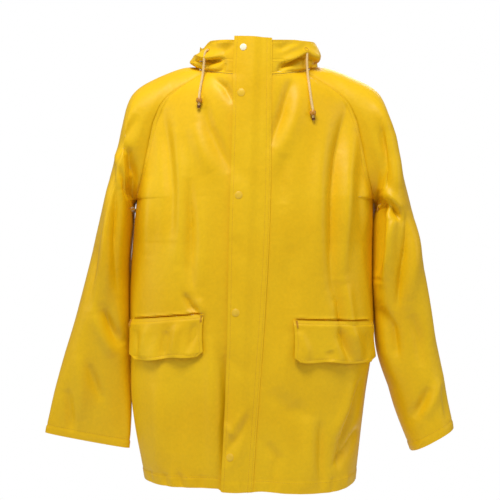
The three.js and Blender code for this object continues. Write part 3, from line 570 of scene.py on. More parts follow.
def strokes(x, z, folds):
    """The height of all the strokes at x and z. A fold is (points, width, height[, sharpness])."""
    total = np.zeros(np.broadcast(x, z).shape)
    for fold in folds:
        points, width, height = fold[:3]
        sharp = fold[3] if len(fold) > 3 else 2.0
        p = np.asarray(points, float)
        lengths = steps(p)
        starts = np.concatenate([[0], np.cumsum(lengths)])
        nearest = np.full(total.shape, 1e9)
        along = np.zeros(total.shape)
        for a, b, length, start in zip(p, p[1:], lengths, starts):
            t = np.clip(((x - a[0]) * (b[0] - a[0]) + (z - a[1]) * (b[1] - a[1])) / length ** 2, 0, 1)
            gap = np.hypot(x - mix(a[0], b[0], t), z - mix(a[1], b[1], t))
            closer = gap < nearest
            nearest = np.where(closer, gap, nearest)
            along = np.where(closer, (start + t * length) / starts[-1], along)
        fade = np.clip(np.sin(np.pi * np.clip(along, 0.02, 0.98)), 0, 1) ** 0.6
        total += height * fade * np.exp(-(nearest / width) ** sharp)
    return total


def swell(x, z, size, height):
    """Slow uneven swelling, the same each time."""
    a, b = x / size, z / size
    return height * (np.sin(1.3 * a + 0.7 * b + 0.4) + np.sin(-0.9 * a + 1.9 * b + 2.1)
                     + 0.7 * np.sin(2.3 * a - 1.1 * b + 4.0)) / 2.7


# %% Folds of the front
front_folds = [
    # from the neck seam to the storm flap
    ([(-84, 794), (-60, 768), (-40, 735)], 8, -5, 1.5),
    ([(-100, 735), (-90, 690), (-66, 640), (-44, 600)], 12, -4.5),
    ([(-120, 700), (-104, 650), (-85, 600)], 16, 3),
    ([(72, 786), (52, 715), (28, 650)], 11, -6, 1.6),
    ([(92, 762), (74, 700), (46, 630)], 15, 2),
    ([(60, 640), (48, 590), (52, 540)], 14, -2.5),
    # from the shoulders down over the ribs
    ([(-184, 735), (-170, 650), (-160, 560), (-163, 470)], 14, -5),
    ([(-158, 700), (-146, 600), (-144, 500), (-150, 420)], 15, 3.5),
    ([(-206, 600), (-208, 520), (-214, 440)], 12, 3),
    ([(178, 730), (160, 640), (150, 560), (148, 460), (152, 360)], 11, -8, 1.6),
    ([(196, 690), (180, 600), (174, 500), (168, 400)], 13, 5),
    ([(140, 700), (124, 600), (122, 500), (130, 400)], 16, 3.5),
    ([(214, 640), (206, 560), (210, 460)], 12, -3),
    # over the hips, and into the pockets
    ([(-128, 600), (-124, 500), (-126, 420), (-120, 370)], 9, -5, 1.6),
    ([(-106, 560), (-100, 470), (-104, 380)], 14, 2.5),
    ([(-138, 372), (-124, 346), (-108, 330)], 6, -5, 1.5),
    ([(-110, 362), (-102, 340), (-100, 326)], 6, 3),
    ([(156, 400), (164, 340), (166, 300), (180, 236)], 8, -6, 1.4),
    ([(176, 390), (182, 330), (190, 270)], 11, 4),
    ([(72, 470), (64, 400), (70, 340)], 18, -2),
    # over the thighs
    ([(-86, 300), (-82, 180), (-78, 60), (-80, 10)], 14, 4.5),
    ([(-58, 260), (-56, 150), (-60, 40)], 10, -5.5, 1.6),
    ([(-150, 240), (-140, 150), (-150, 60)], 26, -3),
    ([(-196, 200), (-186, 100), (-190, 20)], 14, 3),
    ([(214, 210), (196, 150), (172, 90), (160, 30)], 10, -6, 1.5),
    ([(192, 200), (176, 140), (150, 90)], 12, 4),
    ([(206, 110), (182, 70), (150, 44)], 9, -5, 1.5),
    ([(128, 130), (126, 60), (128, 2)], 9, -4.5, 1.5),
    ([(108, 140), (104, 70), (108, 4)], 14, 3.5),
    ([(30, 190), (60, 150), (110, 140)], 18, -2.5),
    ([(20, 90), (40, 60), (36, 20)], 10, -3),
    ([(70, 300), (56, 220), (60, 120)], 22, 2.5),
]
hem_puckers = [
    ([(-207, 26), (-203, 0)], 5, -2.5), ([(-178, 26), (-172, -2)], 6, -3.5),
               ([(-164, 26), (-158, -2)], 5, 2.5),
    ([(-150, 28), (-140, -2)], 5, -4), ([(-132, 26), (-126, 0)], 6, 2),
               ([(-104, 26), (-102, -2)], 7, -2.5),
    ([(34, 30), (40, 0)], 6, -2.5), ([(84, 26), (88, -2)], 7, 2), ([(152, 26), (150, -2)], 6, -3),
    ([(178, 26), (176, -2)], 6, 2.5),
]


def groove(gap, depth=0.6, width=1.2):
    """The dent that a row of stitches pulls in the cloth, by the distance from the row."""
    return depth * np.exp(-(gap / width) ** 2)


def hem_step(z, depth=20.0, height=0.9):
    """The turned hem is two layers thick, with a groove where it is stitched down."""
    return height * (1 - smooth(z, depth - 2, depth + 1.5)) - groove(z - depth, 0.8, 1.6)


def front_relief(x, z):
    """All that raises the front's cloth: its folds, the puckers of its hem and a slow swell."""
    rise = strokes(x, z, front_folds) * FOLD_GAIN + strokes(x, z, hem_puckers) * (z < 60) + swell(x, z,
                                                                                                  70,
                                                                                                  1.3)
    quiet_throat = 1 - 0.8 * smooth(z, 770, 800)
    return rise * quiet_throat


# %% [markdown]
# ## A sheet of cloth from a grid
# Each piece of cloth is a grid of points with an outer and an inner face 1 mm apart and closed rims.
# Building both faces at once, instead of adding a thickness later, lets the outer face have the
# coating and the inner face the knit. The map from grid to cloth is kept in millimetres as the UV, so
# a knit column is the same width on every piece.


# %% Cloth builder
def grid_normals(points, wrapped=False):
    """The direction square to a grid at each of its points."""
    if wrapped:
        padded_grid = np.concatenate([points[:, -2:-1], points, points[:, 1:2]], axis=1)
        across = (padded_grid[:, 2:] - padded_grid[:, :-2]) / 2
    else:
        across = np.gradient(points, axis=1)
    normal = np.cross(across, np.gradient(points, axis=0))
    length = np.linalg.norm(normal, axis=-1, keepdims=True)
    return normal / np.maximum(length, 1e-9)


def facing_out(points, normals, inside):
    """The same directions, turned round if they face the inside point."""
    away = ((points - np.asarray(inside, float)) * normals).sum(-1)
    return normals if away.mean() > 0 else -normals


def cloth_mesh(name, points, normals, thick=1.0, wrapped=False, finishes=(None, None)):
    """A two-faced sheet with closed rims. A wrapped grid's last column repeats its first."""
    rows, cols = points.shape[:2]
    count = rows * cols
    outer, inner = points + normals * thick / 2, points - normals * thick / 2
    verts = np.concatenate([outer.reshape(-1, 3), inner.reshape(-1, 3)])
    index = np.arange(count).reshape(rows, cols)
    skin = np.stack([index[:-1, :-1], index[:-1, 1:], index[1:, 1:], index[1:, :-1]], -1).reshape(-1, 4)
    quads, slots = [skin, skin[:, ::-1] + count], [np.zeros(len(skin), int), np.ones(len(skin), int)]
    rims = [(index[0], False), (index[-1], True)]
    if not wrapped:
        rims += [(index[:, 0], True), (index[:, -1], False)]
    for rim, turn in rims:
        p, q = rim[:-1], rim[1:]
        quad = np.stack([q, p, p + count, q + count], -1)
        quads.append(quad[:, ::-1] if turn else quad)
        slots.append(np.zeros(len(quad), int))
    quads, slots = np.concatenate(quads), np.concatenate(slots)
    corner = verts[quads]
    volume = (corner[:, 0] * np.cross(corner[:, 1], corner[:, 2])).sum()
    volume += (corner[:, 0] * np.cross(corner[:, 2], corner[:, 3])).sum()
    if volume < 0:
        quads = quads[:, ::-1]
    u = np.concatenate([np.zeros((rows, 1)), np.cumsum(steps(points, 1), axis=1)], axis=1)
    v = np.concatenate([[0], np.cumsum(steps(points).mean(axis=1))])[:, None] * np.ones((1, cols))
    uv = (np.tile(np.stack([u, v], -1).reshape(-1, 2), (2, 1)) * MM)[quads.ravel()]
    if wrapped:
        same = np.arange(count).reshape(rows, cols)
        same[:, -1] = same[:, 0]
        quads = np.concatenate([same.ravel(), same.ravel() + count])[quads]
    mesh = bpy.data.meshes.new(name)
    mesh.vertices.add(len(verts))
    mesh.vertices.foreach_set("co", place(verts).ravel())
    mesh.loops.add(quads.size)
    mesh.loops.foreach_set("vertex_index", quads.ravel())
    mesh.polygons.add(len(quads))
    mesh.polygons.foreach_set("loop_start", np.arange(0, quads.size, 4))
    mesh.polygons.foreach_set("material_index", slots)
    mesh.uv_layers.new(name="cloth").uv.foreach_set("vector", uv.ravel())
    mesh.update(calc_edges=True)
    if wrapped:
        drop_unused(mesh)
    mesh.shade_smooth()
    mesh.set_sharp_from_angle(angle=math.radians(55))
    for finish in finishes:
        mesh.materials.append(finish)
    return mesh


def drop_unused(mesh):
    """Drops the points that the wrapped grid's last column left unused."""
    work = bmesh.new()
    work.from_mesh(mesh)
    bmesh.ops.delete(work, geom=[v for v in work.verts if not v.link_faces], context="VERTS")
    work.to_mesh(mesh)
    work.free()


def cloth_piece(name, points, inside, thick=1.0, rise=0.0, wrapped=False, finishes=None, aim=None):
    """Lays cloth on a grid of points, raised by rise along the direction away from inside."""
    normals = facing_out(points, grid_normals(points, wrapped), inside) if aim is None else aim
    moved = points + normals * np.broadcast_to(rise, points.shape[:2])[..., None]
    if wrapped:
        moved[:, -1] = moved[:, 0]
    normals = facing_out(moved, grid_normals(moved, wrapped), inside)
    if wrapped:
        normals[:, -1] = normals[:, 0]
    mesh = cloth_mesh(name, moved, normals, thick, wrapped, finishes or (coated, knit))
    made_grids[name] = (moved, normals)
    print(name, "points", moved.shape[:2], "faces", len(mesh.polygons))
    return into_scene(name, mesh)


made_grids = {}  # each piece's grid and the directions out of it, for what is sewn or set on it


def flat_cut(name):
    """The width and length in metres that a piece was cut to, measured along its grid."""
    grid = made_grids[name][0]
    width, length = steps(grid, 1).sum(axis=1), steps(grid).sum(axis=0)
    corner = grid[:-1, :-1]
    quads = np.linalg.norm(np.cross(grid[1:, :-1] - corner, grid[:-1, 1:] - corner), axis=-1)
    return (width.max() * MM, length.max() * MM), quads.sum() * MM * MM


LEAST_AREA = 0.31  # a long tube's cut fills at least this much of its box


def hang(piece):
    """Prints the width, length and area that a piece of cloth was cut to."""
    (width, length), area = flat_cut(piece.name)
    area = float(min(max(area, LEAST_AREA * width * length), width * length))
    print("cut", piece.name, round(width, 3), "x", round(length, 3), "m, area", round(area, 4))


def stand_for(piece, nodes, body=None):
    """Hides the solids that a piece takes the place of, and hangs it on the body it rides on, if one is
    given.
    """
    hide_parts(*nodes)
    if body:
        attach(piece, body)


# %% [markdown]
# ## Fronts and back
# Three panels make the body. Each is a sheet from the hem up to the neck seam, cut off at the side by
# the side seam and above it by the raglan seam. The folds die out towards a seam, because a seam is
# four layers thick and keeps its line. The hem is turned up 20 mm and stitched.


# %% The lines of the opening, and the seams round a panel
FOLD_HEM, FOLD_COLLAR = -14.0, 16.0
BODY_MIDDLE, NECK_MIDDLE = (0, 0, 420), (0, -20, 820)  # spots inside, which cloth faces away from


def fold_x(z):
    """Where the storm flap folds back, by height."""
    return mix(FOLD_HEM, FOLD_COLLAR, np.asarray(z, float) / COLLAR_TOP)


def free_x(z):
    """The storm flap's free edge."""
    return -through([(0, 65), (0.3 * COLLAR_TOP, 54), (0.55 * COLLAR_TOP, 50), (COLLAR_TOP, 38)], z)


def stand_x(z):
    """The edge of the stand, where the storm flap is sewn down."""
    return fold_x(z) + through([(0, 9), (0.55 * COLLAR_TOP, 24), (COLLAR_TOP, 16)], z)


def near_seam(s, v, width=0.05):
    """0 at a panel's outer edge and at its neck seam, 1 away from them."""
    return smooth((1 - s) / width) * (1 - smooth(v, 1.9, 1.995))


def seam_band(s, reach, layers=0.8):
    """The seam allowance folded under a panel's edge: a low band and two stitched grooves."""
    gap = (1 - s) * reach
    band = layers * (1 - smooth(gap, 7, 10))
    return band - groove(gap - 2, 0.7, 1.1) - groove(gap - 8, 0.7, 1.1)


# %% The front under the pockets
POCKETS = {
    "left": {"inner": 72.0, "outer": 229.0, "top_inner": 320.0, "top_outer": 314.0, "side": 1.0},
    "right": {"inner": -98.0, "outer": -243.0, "top_inner": 331.0, "top_outer": 318.0, "side": -1.0},
}
FLAP_DROP = 80.0


def pocket_slit(x, z):
    """The welted slit that each pocket flap covers."""
    total = 0.0
    for pocket in POCKETS.values():
        middle = (pocket["inner"] + pocket["outer"]) / 2
        half = abs(pocket["outer"] - pocket["inner"]) * 0.36
        line = (pocket["top_inner"] + pocket["top_outer"]) / 2 - FLAP_DROP * 0.28
        across = 1 - smooth(np.abs(x - middle), half - 3, half + 1)
        drop = z - line
        total = total + across * (-9 * np.exp(-(drop / 4.2) ** 4)
                                  + 1.2 * np.exp(-((np.abs(drop) - 8) / 2.6) ** 2))
        t = (x - pocket["inner"]) / (pocket["outer"] - pocket["inner"])
        over = z - mix(pocket["top_inner"], pocket["top_outer"], t)
        between = smooth(t, 0.03, 0.06) * (1 - smooth(t, 0.94, 0.97))
        total = total + between * (1.6 * np.exp(-((over - 5) / 2.2) ** 2)
                                   - 4.5 * np.exp(-((over - 0.8) / 1.7) ** 4))
    return total


# %% Front panels
hem_drops = [(-213, 0), (-170, 3), (-72, 2), (-62, 8), (-15, 9), (12, 7), (60, 12), (120, 14),
             (160, 13), (208, 2)]


def sag_hem(points):
    """The front hangs a little lower than its cut, most on the wearer's left, where it leans."""
    x, z = points[..., 0], points[..., 2]
    points[..., 2] -= through(hem_drops, x) * np.clip(1 - z / 160, 0, 1) ** 2
    return points


def front_panel(name, side, short_of_fold):
    """A front from its edge beside the opening to its side and raglan seams."""
    v = np.concatenate([np.linspace(0, 1, 190)[:-1], np.linspace(1, 2, 96)])[:, None]
    height = np.where(v < 1, v * ARMPIT, mix(ARMPIT, FRONT_LENGTH, v - 1))
    start = share_at(front_face, side, v, fold_x(height) - short_of_fold)
    col = np.linspace(0, 1, 92)[None, :]
    share = mix(start, 0.998, col)
    points = body_point(front_face, side, v, share)
    x, z = points[..., 0], points[..., 2]
    reach = steps(points, 1).sum(axis=1, keepdims=True)
    calm = near_seam(share, v)
    rise = front_relief(x, z) * calm + hem_step(z) + seam_band(share, reach) + pocket_slit(x, z)
    return cloth_piece(name, sag_hem(points), BODY_MIDDLE, rise=rise)


front_right = front_panel("front_right_panel", -1.0, 4)
front_left = front_panel("front_left_panel", 1.0, 2)


# %% Back panel
back_folds = [
    ([(-190, 700), (-150, 600), (-120, 480)], 20, -6), ([(186, 705), (150, 610), (126, 470)], 20, -6),
    ([(-215, 620), (-180, 520), (-170, 400)], 16, 5), ([(214, 620), (186, 520), (180, 380)], 16, 5),
    ([(-60, 560), (-70, 400), (-64, 220)], 26, -5), ([(40, 540), (52, 380), (44, 200)], 28, -5),
    ([(-120, 420), (-112, 260), (-124, 80)], 22, 6), ([(110, 400), (104, 240), (116, 60)], 22, 6),
    ([(-8, 330), (-14, 180), (-8, 20)], 22, 5), ([(-176, 240), (-170, 120), (-176, 10)], 16, -5),
    ([(170, 220), (166, 110), (176, 10)], 16, -5), ([(-80, 640), (0, 622), (84, 640)], 22, 3),
]


def back_panel():
    """The back from side seam to side seam, both raglan seams and the neck seam."""
    v = np.concatenate([np.linspace(0, 1, 130)[:-1], np.linspace(1, 2, 74)])[:, None]
    across = np.linspace(-0.998, 0.998, 151)[None, :]
    side, share = np.where(across < 0, -1.0, 1.0), np.abs(across)
    points = body_point(back_face, side, v, share)
    x, z = points[..., 0], points[..., 2]
    half_reach = steps(points, 1).sum(axis=1, keepdims=True) / 2
    relief = strokes(x, z, back_folds) + swell(x + 40, z, 80, 1.8)
    rise = relief * near_seam(share, v) + hem_step(z) + seam_band(share, half_reach)
    return cloth_piece("back_panel", points, BODY_MIDDLE, rise=rise)


back = back_panel()
for piece, node in ((front_right, "front_right"), (front_left, "front_left"), (back, "back")):
    stand_for(piece, [node], "coat")
hang(front_right)
hang(front_left)
hang(back)

# %% [markdown]
# ## Raglan sleeves
# A raglan sleeve runs in one piece from the neck to the cuff. It is a tube through rings: the first
# lies on the seam round the armhole, and the last is the cuff. Cloth creases across the inside of the
# arm and hangs in long folds below it. The sleeve bends at the armhole when the arm is raised.

# %% Rings of the sleeve
# inner point x, z; outer point x, z; bow; depth in front; depth behind. Heights count from the armpit.
shoulder_rings = [(240.5, -6, 140, 265, 60, 74, 84), (242.5, -11, 196, 244, 40, 76, 87),
                  (244, -16, 238, 221, 20, 78, 88), (245, -19, 257, 194, 8, 80, 88),
                  (245.5, -22, 270, 152, 2, 81, 88),
                  (246, -24, 282, 104, 0, 81, 87), (246.5, -26, 297, 44, 0, 81, 86)]
arm_rings = {
    "left": [(248.5, -54, 307, 6, 0, 80, 86), (250, -84, 320, -54, 0, 79, 85),
             (250, -128, 332, -114, 0, 74, 84),
             (250, -200, 346, -200, 0, 64, 80), (252, -300, 366, -294, 0, 54, 72),
             (277, -400, 384, -382, 0, 52, 68),
             (305, -478, 393, -434, 0, 55, 66), (313, -500, 396, -454, 0, 56, 66)],
    "right": [(249.5, -54, 307, 6, 0, 81, 86), (252, -84, 320, -54, 0, 80, 85),
              (254, -128, 333, -114, 0, 76, 84),
              (255, -200, 354, -198, 0, 62, 78), (255, -300, 379, -296, 0, 44, 62),
              (254, -400, 404, -386, 0, 24, 44),
              (253, -476, 417, -446, 0, 8, 28), (254, -498, 421, -467, 0, 4, 24)],
}
FRONT_STEPS, NECK_STEPS, BACK_STEPS = 8, 3, 8
RING_STEPS = FRONT_STEPS + NECK_STEPS + BACK_STEPS
NECK_TURN = math.radians(36)


def ring_angle(k):
    """The turn of step k round a ring: up the front, over the top and down the back."""
    down = np.clip((k - FRONT_STEPS - NECK_STEPS) / BACK_STEPS, 0, 1)
    over = np.clip((k - FRONT_STEPS) / NECK_STEPS, 0, 1)
    front = mix(math.pi, NECK_TURN, np.clip(k / FRONT_STEPS, 0, 1))
    neck = mix(NECK_TURN, -NECK_TURN, over)
    return np.where(k <= FRONT_STEPS, front, np.where(over < 1, neck, mix(-NECK_TURN, -math.pi, down)))


def armhole(side, k):
    """The seam round the armhole at step k: front raglan, neck, back raglan."""
    over = np.clip((k - FRONT_STEPS) / NECK_STEPS, 0, 1)
    down = 1 - np.clip((k - FRONT_STEPS - NECK_STEPS) / BACK_STEPS, 0, 1)
    front = raglan(front_face, side, np.clip(k / FRONT_STEPS, 0, 1))
    neck = neck_point(mix(FRONT_CORNER, BACK_CORNER, over), side)
    rear = raglan(back_face, side, down)
    return np.where((k <= FRONT_STEPS)[..., None], front, np.where((over < 1)[..., None], neck, rear))


def boxy(turn, power):
    """Cosine and sine of a turn, pushed out to the corners of a rounded box."""
    c, s = np.cos(turn), np.sin(turn)
    return np.sign(c) * np.abs(c) ** (2 / power), np.sign(s) * np.abs(s) ** (2 / power)


def sleeve_ring(side, ring, k):
    """A rounded section of the sleeve from its inner to its outer point, bowed upwards by bow."""
    xi, zi, xo, zo, bow, deep_front, deep_back = ring
    across, along = boxy(ring_angle(k), 2.6)
    length = math.hypot(xo - xi, zo - zi)
    bend = ((xi + xo) / 2 + bow * (zo - zi) / length, (zi + zo) / 2 - bow * (xo - xi) / length)
    t = (1 + across) / 2
    x = (1 - t) ** 2 * xi + 2 * t * (1 - t) * bend[0] + t * t * xo
    z = (1 - t) ** 2 * zi + 2 * t * (1 - t) * bend[1] + t * t * zo
    y = (deep_back - deep_front) / 2 - along * (deep_front + deep_back) / 2
    return stack(side * x, y, ARMPIT + z)


# %% Sleeve folds
sleeve_folds = {
    "right": [([(-272, 617), (-274, 500), (-272, 360)], 11, -6, 1.5),
              ([(-290, 600), (-292, 480), (-290, 360)], 13, 4),
              ([(-263, 667), (-246, 644), (-236, 596), (-242, 550)], 8, -8, 1.5),
              ([(-268, 620), (-256, 585), (-244, 550)], 7, -5),
              ([(-284, 660), (-270, 620), (-262, 570)], 9, 4),
              ([(-230, 720), (-252, 680), (-280, 640)], 12, -4),
              ([(-300, 340), (-284, 303), (-264, 262)], 9, -6),
              ([(-318, 330), (-304, 290), (-280, 240)], 11, 4),
              ([(-330, 230), (-318, 190), (-304, 150)], 9, -4),
              ([(-350, 250), (-345, 180), (-350, 110)], 14, 3.5),
              ([(-376, 180), (-370, 130), (-368, 90)], 9, -4),
              ([(-316, 470), (-322, 400), (-330, 330)], 12, -3.5)],
    "left": [([(245, 700), (256, 640), (258, 570)], 10, -7, 1.5),
             ([(262, 690), (276, 630), (280, 570)], 13, 4),
             ([(238, 560), (250, 515), (256, 460), (254, 400)], 10, -11, 3),
             ([(250, 560), (272, 512), (268, 450), (262, 390)], 6, 5),
             ([(247, 551), (266, 532), (284, 512)], 8, -8, 2),
             ([(252, 572), (272, 552), (290, 532)], 7, 4),
             ([(299, 530), (296, 480), (284, 407), (274, 330)], 9, -6, 1.5),
             ([(318, 520), (314, 440), (300, 350)], 13, 4),
             ([(256, 345), (270, 300), (280, 240)], 9, -6),
             ([(306, 330), (322, 280), (330, 220)], 12, -4),
             ([(346, 184), (330, 150), (308, 122)], 10, -5),
             ([(366, 200), (352, 160), (334, 120)], 12, 4),
             ([(232, 745), (262, 700), (300, 640)], 14, 3),
             ([(330, 420), (342, 340), (350, 260)], 14, 3.5),
             ([(372, 190), (380, 150), (382, 116)], 8, -3.5)],
}
# how far the sleeve's inner side leans to the body, and its outer side is drawn in, by height
sleeve_inside = {"left": [(180, 0), (250, 7), (300, 9), (350, 14), (430, 18), (500, 14), (545, 3), (570, 0)],
                 "right": [(60, 0), (140, 4), (300, 5), (420, 5), (500, 4), (550, 0)]}
sleeve_outside = {"left": [(500, 0), (560, 1), (700, 1), (780, 0)],
                  "right": [(250, 0), (330, 3), (440, 7), (600, 8), (700, 7), (770, 3), (800, 0)]}
behind_folds = [([(0.30, 0.20), (0.40, 0.42), (0.36, 0.62)], 0.05, -6),
                ([(0.24, 0.42), (0.30, 0.62)], 0.045, 5),
                ([(0.34, 0.60), (0.26, 0.80), (0.30, 0.94)], 0.05, -5),
                ([(0.42, 0.30), (0.50, 0.52)], 0.05, 4)]


SLEEVE_ROWS, SLEEVE_COLS = 216, 161


def sleeve(name):
    """One sleeve from the armhole to the cuff, with its folds, its seam and its turned cuff."""
    side = 1.0 if name == "left" else -1.0
    col = np.linspace(0, 1, SLEEVE_COLS)[None, :]
    k = col * RING_STEPS
    drawn_rings = shoulder_rings + arm_rings[name]
    rings = [armhole(side, k)] + [sleeve_ring(side, ring, k) for ring in drawn_rings]
    middles = np.array([ring[0].mean(axis=0) for ring in rings])
    run = np.concatenate([[0], np.cumsum(steps(middles))])
    even = np.interp(np.linspace(0, run[-1], SLEEVE_ROWS), run, np.linspace(0, 1, len(rings)))
    stations = seam_rows([ring[0] for ring in rings])
    points = np.stack([through(stations, t) for t in even])
    points[:, -1] = points[:, 0]
    centre = points[:, :-1].mean(axis=1, keepdims=True)
    normals = grid_normals(points, True)
    outward = ((points - centre) * normals).sum(-1)
    normals = normals if outward.mean() > 0 else -normals
    x, z = points[..., 0], points[..., 2]
    down = np.linspace(0, run[-1], SLEEVE_ROWS)[:, None]
    front = smooth(-normals[..., 1], -0.1, 0.4)
    rear = smooth(normals[..., 1], -0.1, 0.4)
    spot = np.broadcast_to(1 - col, x.shape), np.broadcast_to(down / run[-1], x.shape)
    rise = FOLD_GAIN * (strokes(x, z, sleeve_folds[name]) * front + strokes(*spot, behind_folds) * rear)
    inner = smooth(-side * normals[..., 0], 0.2, 0.8)
    outer = smooth(side * normals[..., 0], 0.1, 0.7)
    rise = rise + inner * through(sleeve_inside[name], z) - outer * through(sleeve_outside[name], z)
    rise = rise + swell(spot[0] * 460 * np.sin(math.pi * spot[0]), down, 62, 1.7)
    to_cuff = run[-1] - down
    rise = rise * smooth(down, 3, 26) * smooth(to_cuff, -4, 26)
    rise = rise - 1.5 * (1 - smooth(down, 0, 5)) + hem_step(to_cuff, 18, 1.0)
    piece = cloth_piece(f"sleeve_{name}_cloth", points, (side * 300, 0, 300), rise=rise, wrapped=True,
                        aim=normals)
    stand_for(piece, [f"sleeve_top_{name}", f"sleeve_{name}"])
    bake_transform(piece)
    hang(piece)


for name in ("left", "right"):
    sleeve(name)

# %% [markdown]
# ## Storm flap
# The flap is a doubled strip that covers the opening and keeps rain out of it. One long edge is sewn
# to the left front: that is the stand, with two rows of stitches. The other edge is free and is held
# by five press studs. It is drawn as one doubled sheet that turns on the line where it folds back.


# %% The strip from the free edge to the stand
FLAP_LIFT = 5 + 2 * CLOTH
FOLD_LIFT = CLOTH + 0.4 + CLOTH / 2
flap_folds = [([(-10, 140), (-30, 104), (-58, 66)], 7, -4),
              ([(-14, 158), (-36, 124), (-60, 92)], 8, 2.5),
              ([(-62, 126), (-52, 112), (-40, 100)], 6, 3.5),
              ([(-20, 90), (-40, 56), (-62, 30)], 9, 2.2),
              ([(-44, 480), (-30, 450), (-12, 436)], 14, -1.6),
              ([(-42, 640), (-28, 600), (-10, 580)], 14, -1.6),
              ([(-52, 260), (-36, 232), (-14, 214)], 12, -1.8)]


def over_front(x, z):
    """Points on the front, with the front's own folds under them."""
    points = front_point(x, z)
    normals = facing_out(points, grid_normals(points), BODY_MIDDLE)
    return points, normals, front_relief(x, z) * (1 - smooth(z, 770, 792))


def flap_strip():
    """The flap and its stand as one strip, from the free edge across to the stand's stitches."""
    col = np.linspace(0, 1, 34)[None, :]
    z = 0.5 + np.linspace(0, 1, 280)[:, None] * (COLLAR_TOP + 5.5 - 3.5 * col)
    x = mix(free_x(z), stand_x(z), col)
    z = np.broadcast_to(z, x.shape)
    points, normals, under = over_front(x, z)
    rest = mix(FOLD_LIFT, FLAP_LIFT, smooth((fold_x(z) - x) / 20)) - 0.3
    from_stand = stand_x(z) - x
    dents = groove(from_stand - 3) + groove(from_stand - 10) + groove(x - free_x(z) - 6, 0.5)
    edge_wave = 0.9 * np.sin(z / 37.0) * smooth((fold_x(z) - x) / 45)
    calm = 1 - smooth(z, 800, 850)
    rise = rest + 0.55 * under + strokes(x, z, flap_folds) * calm - dents + edge_wave
    rise = rise + 0.6 * (1 - smooth(z, 16, 20)) - groove(z - 20, 0.5, 1.6)
    return cloth_piece("storm_flap_cloth", sag_hem(points), BODY_MIDDLE, thick=2.0, rise=rise,
                       aim=normals,
                       finishes=(coated, coated))


storm_flap = flap_strip()
stand_for(storm_flap, ["storm_flap", "storm_flap_facing", "storm_flap_stand"])
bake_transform(storm_flap)
hang(storm_flap)


# %% Facings behind the opening
def facing_strip(side_name, from_x, to_x):
    """A strip of cloth behind a front's edge, between two lines."""
    z = np.linspace(22, FRONT_LENGTH - 14, 60)[:, None]
    x = mix(from_x(z), to_x(z), np.linspace(0, 1, 8)[None, :])
    points, normals, under = over_front(x, np.broadcast_to(z, x.shape))
    piece = cloth_piece(f"facing_{side_name}_cloth", points, BODY_MIDDLE, thick=0.8, rise=0.8 * under
                        - 3.6,
                        aim=normals)
    stand_for(piece, [f"front_facing_{side_name}"], "coat")
    hang(piece)


facing_strip("right", lambda z: free_x(z) - 4, lambda z: fold_x(z) - 6)
facing_strip("left", lambda z: fold_x(z) - 1, stand_x)

# %% [markdown]
# ## Pockets
# Each pocket is a slit with a bag hung behind it and a doubled flap that sheds rain in front of it.
# The flap's top edge is sewn down and its lower edge curls where the cloth pulls. Two bar tacks, dense
# zigzags of thread, hold its ends. The bag is knit and hangs out of sight behind the front.


# %% Pocket flaps and bags
BAG_TOP, BAG_FOOT = 8, 190  # in mm below the flap's top edge


def pocket_grid(pocket, tops, cols, cut_corner=14.0, inset=0.0):
    """Rows below a pocket's top edge, and columns from its inner to its outer end."""
    row, col = tops[:, None], mix(inset, 1 - inset, np.linspace(0, 1, cols))[None, :]
    x = mix(pocket["inner"], pocket["outer"], col)
    z = mix(pocket["top_inner"], pocket["top_outer"], col) - row * (1 + 0.02 * np.sin(col * 11))
    share = row / FLAP_DROP
    cut = smooth(share, 0.88, 1) * (col - 0.5) * 1.5 - 0.2 * np.sin(math.pi * share) * (col < 0.3)
    x, z = np.broadcast_arrays(x - cut_corner * cut * pocket["side"], z)
    return x, z, row, col


flap_waves = {
    "left": [([(82, 300), (96, 262), (98, 240)], 9, 3), ([(140, 262), (146, 240)], 9, -3),
             ([(160, 330), (166, 285), (184, 236)], 8, -5),
             ([(182, 320), (190, 280), (200, 238)], 10, 3.5),
             ([(214, 296), (216, 262), (212, 240)], 8, -2.5)],
    "right": [([(-112, 324), (-118, 290), (-128, 254)], 8, -3),
              ([(-142, 330), (-150, 290), (-158, 246)], 9, 3.5),
              ([(-168, 300), (-174, 270), (-178, 240)], 8, -3.5),
              ([(-206, 318), (-212, 280), (-222, 244)], 10, 3),
              ([(-228, 300), (-226, 262), (-230, 240)], 7, -2.5)],
}


def pocket_flap(name):
    """A doubled flap that stands off the front and curls at its lower edge."""
    pocket = POCKETS[name]
    x, z, row, col = pocket_grid(pocket, np.linspace(0, FLAP_DROP, 58), 96)
    points, normals, under = over_front(x, z)
    rest = 1.7 + 3.4 * smooth(row, 0, 12)
    edge = (3 + 2.6 * np.sin(col * 13 + 1.2 * pocket["side"])) * smooth(row, 30, 80)
    end_gap = np.minimum(col, 1 - col) * abs(pocket["outer"] - pocket["inner"])
    dents = groove(row - 7) + groove(end_gap - 6, 0.5) + groove(FLAP_DROP - row - 6, 0.5)
    waves = 1.7 * strokes(x, z, flap_waves[name]) * smooth(row, 4, 30)
    rise = np.maximum(rest + 0.5 * under + waves + edge - dents, under * 0.9 + 1.8)
    flap = cloth_piece(f"pocket_flap_{name}_cloth", points, BODY_MIDDLE, thick=2.2, rise=rise,
                       aim=normals,
                       finishes=(coated, coated))
    stand_for(flap, [f"pocket_flap_{name}", f"pocket_flap_lining_{name}"])
    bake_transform(flap)
    hang(flap)


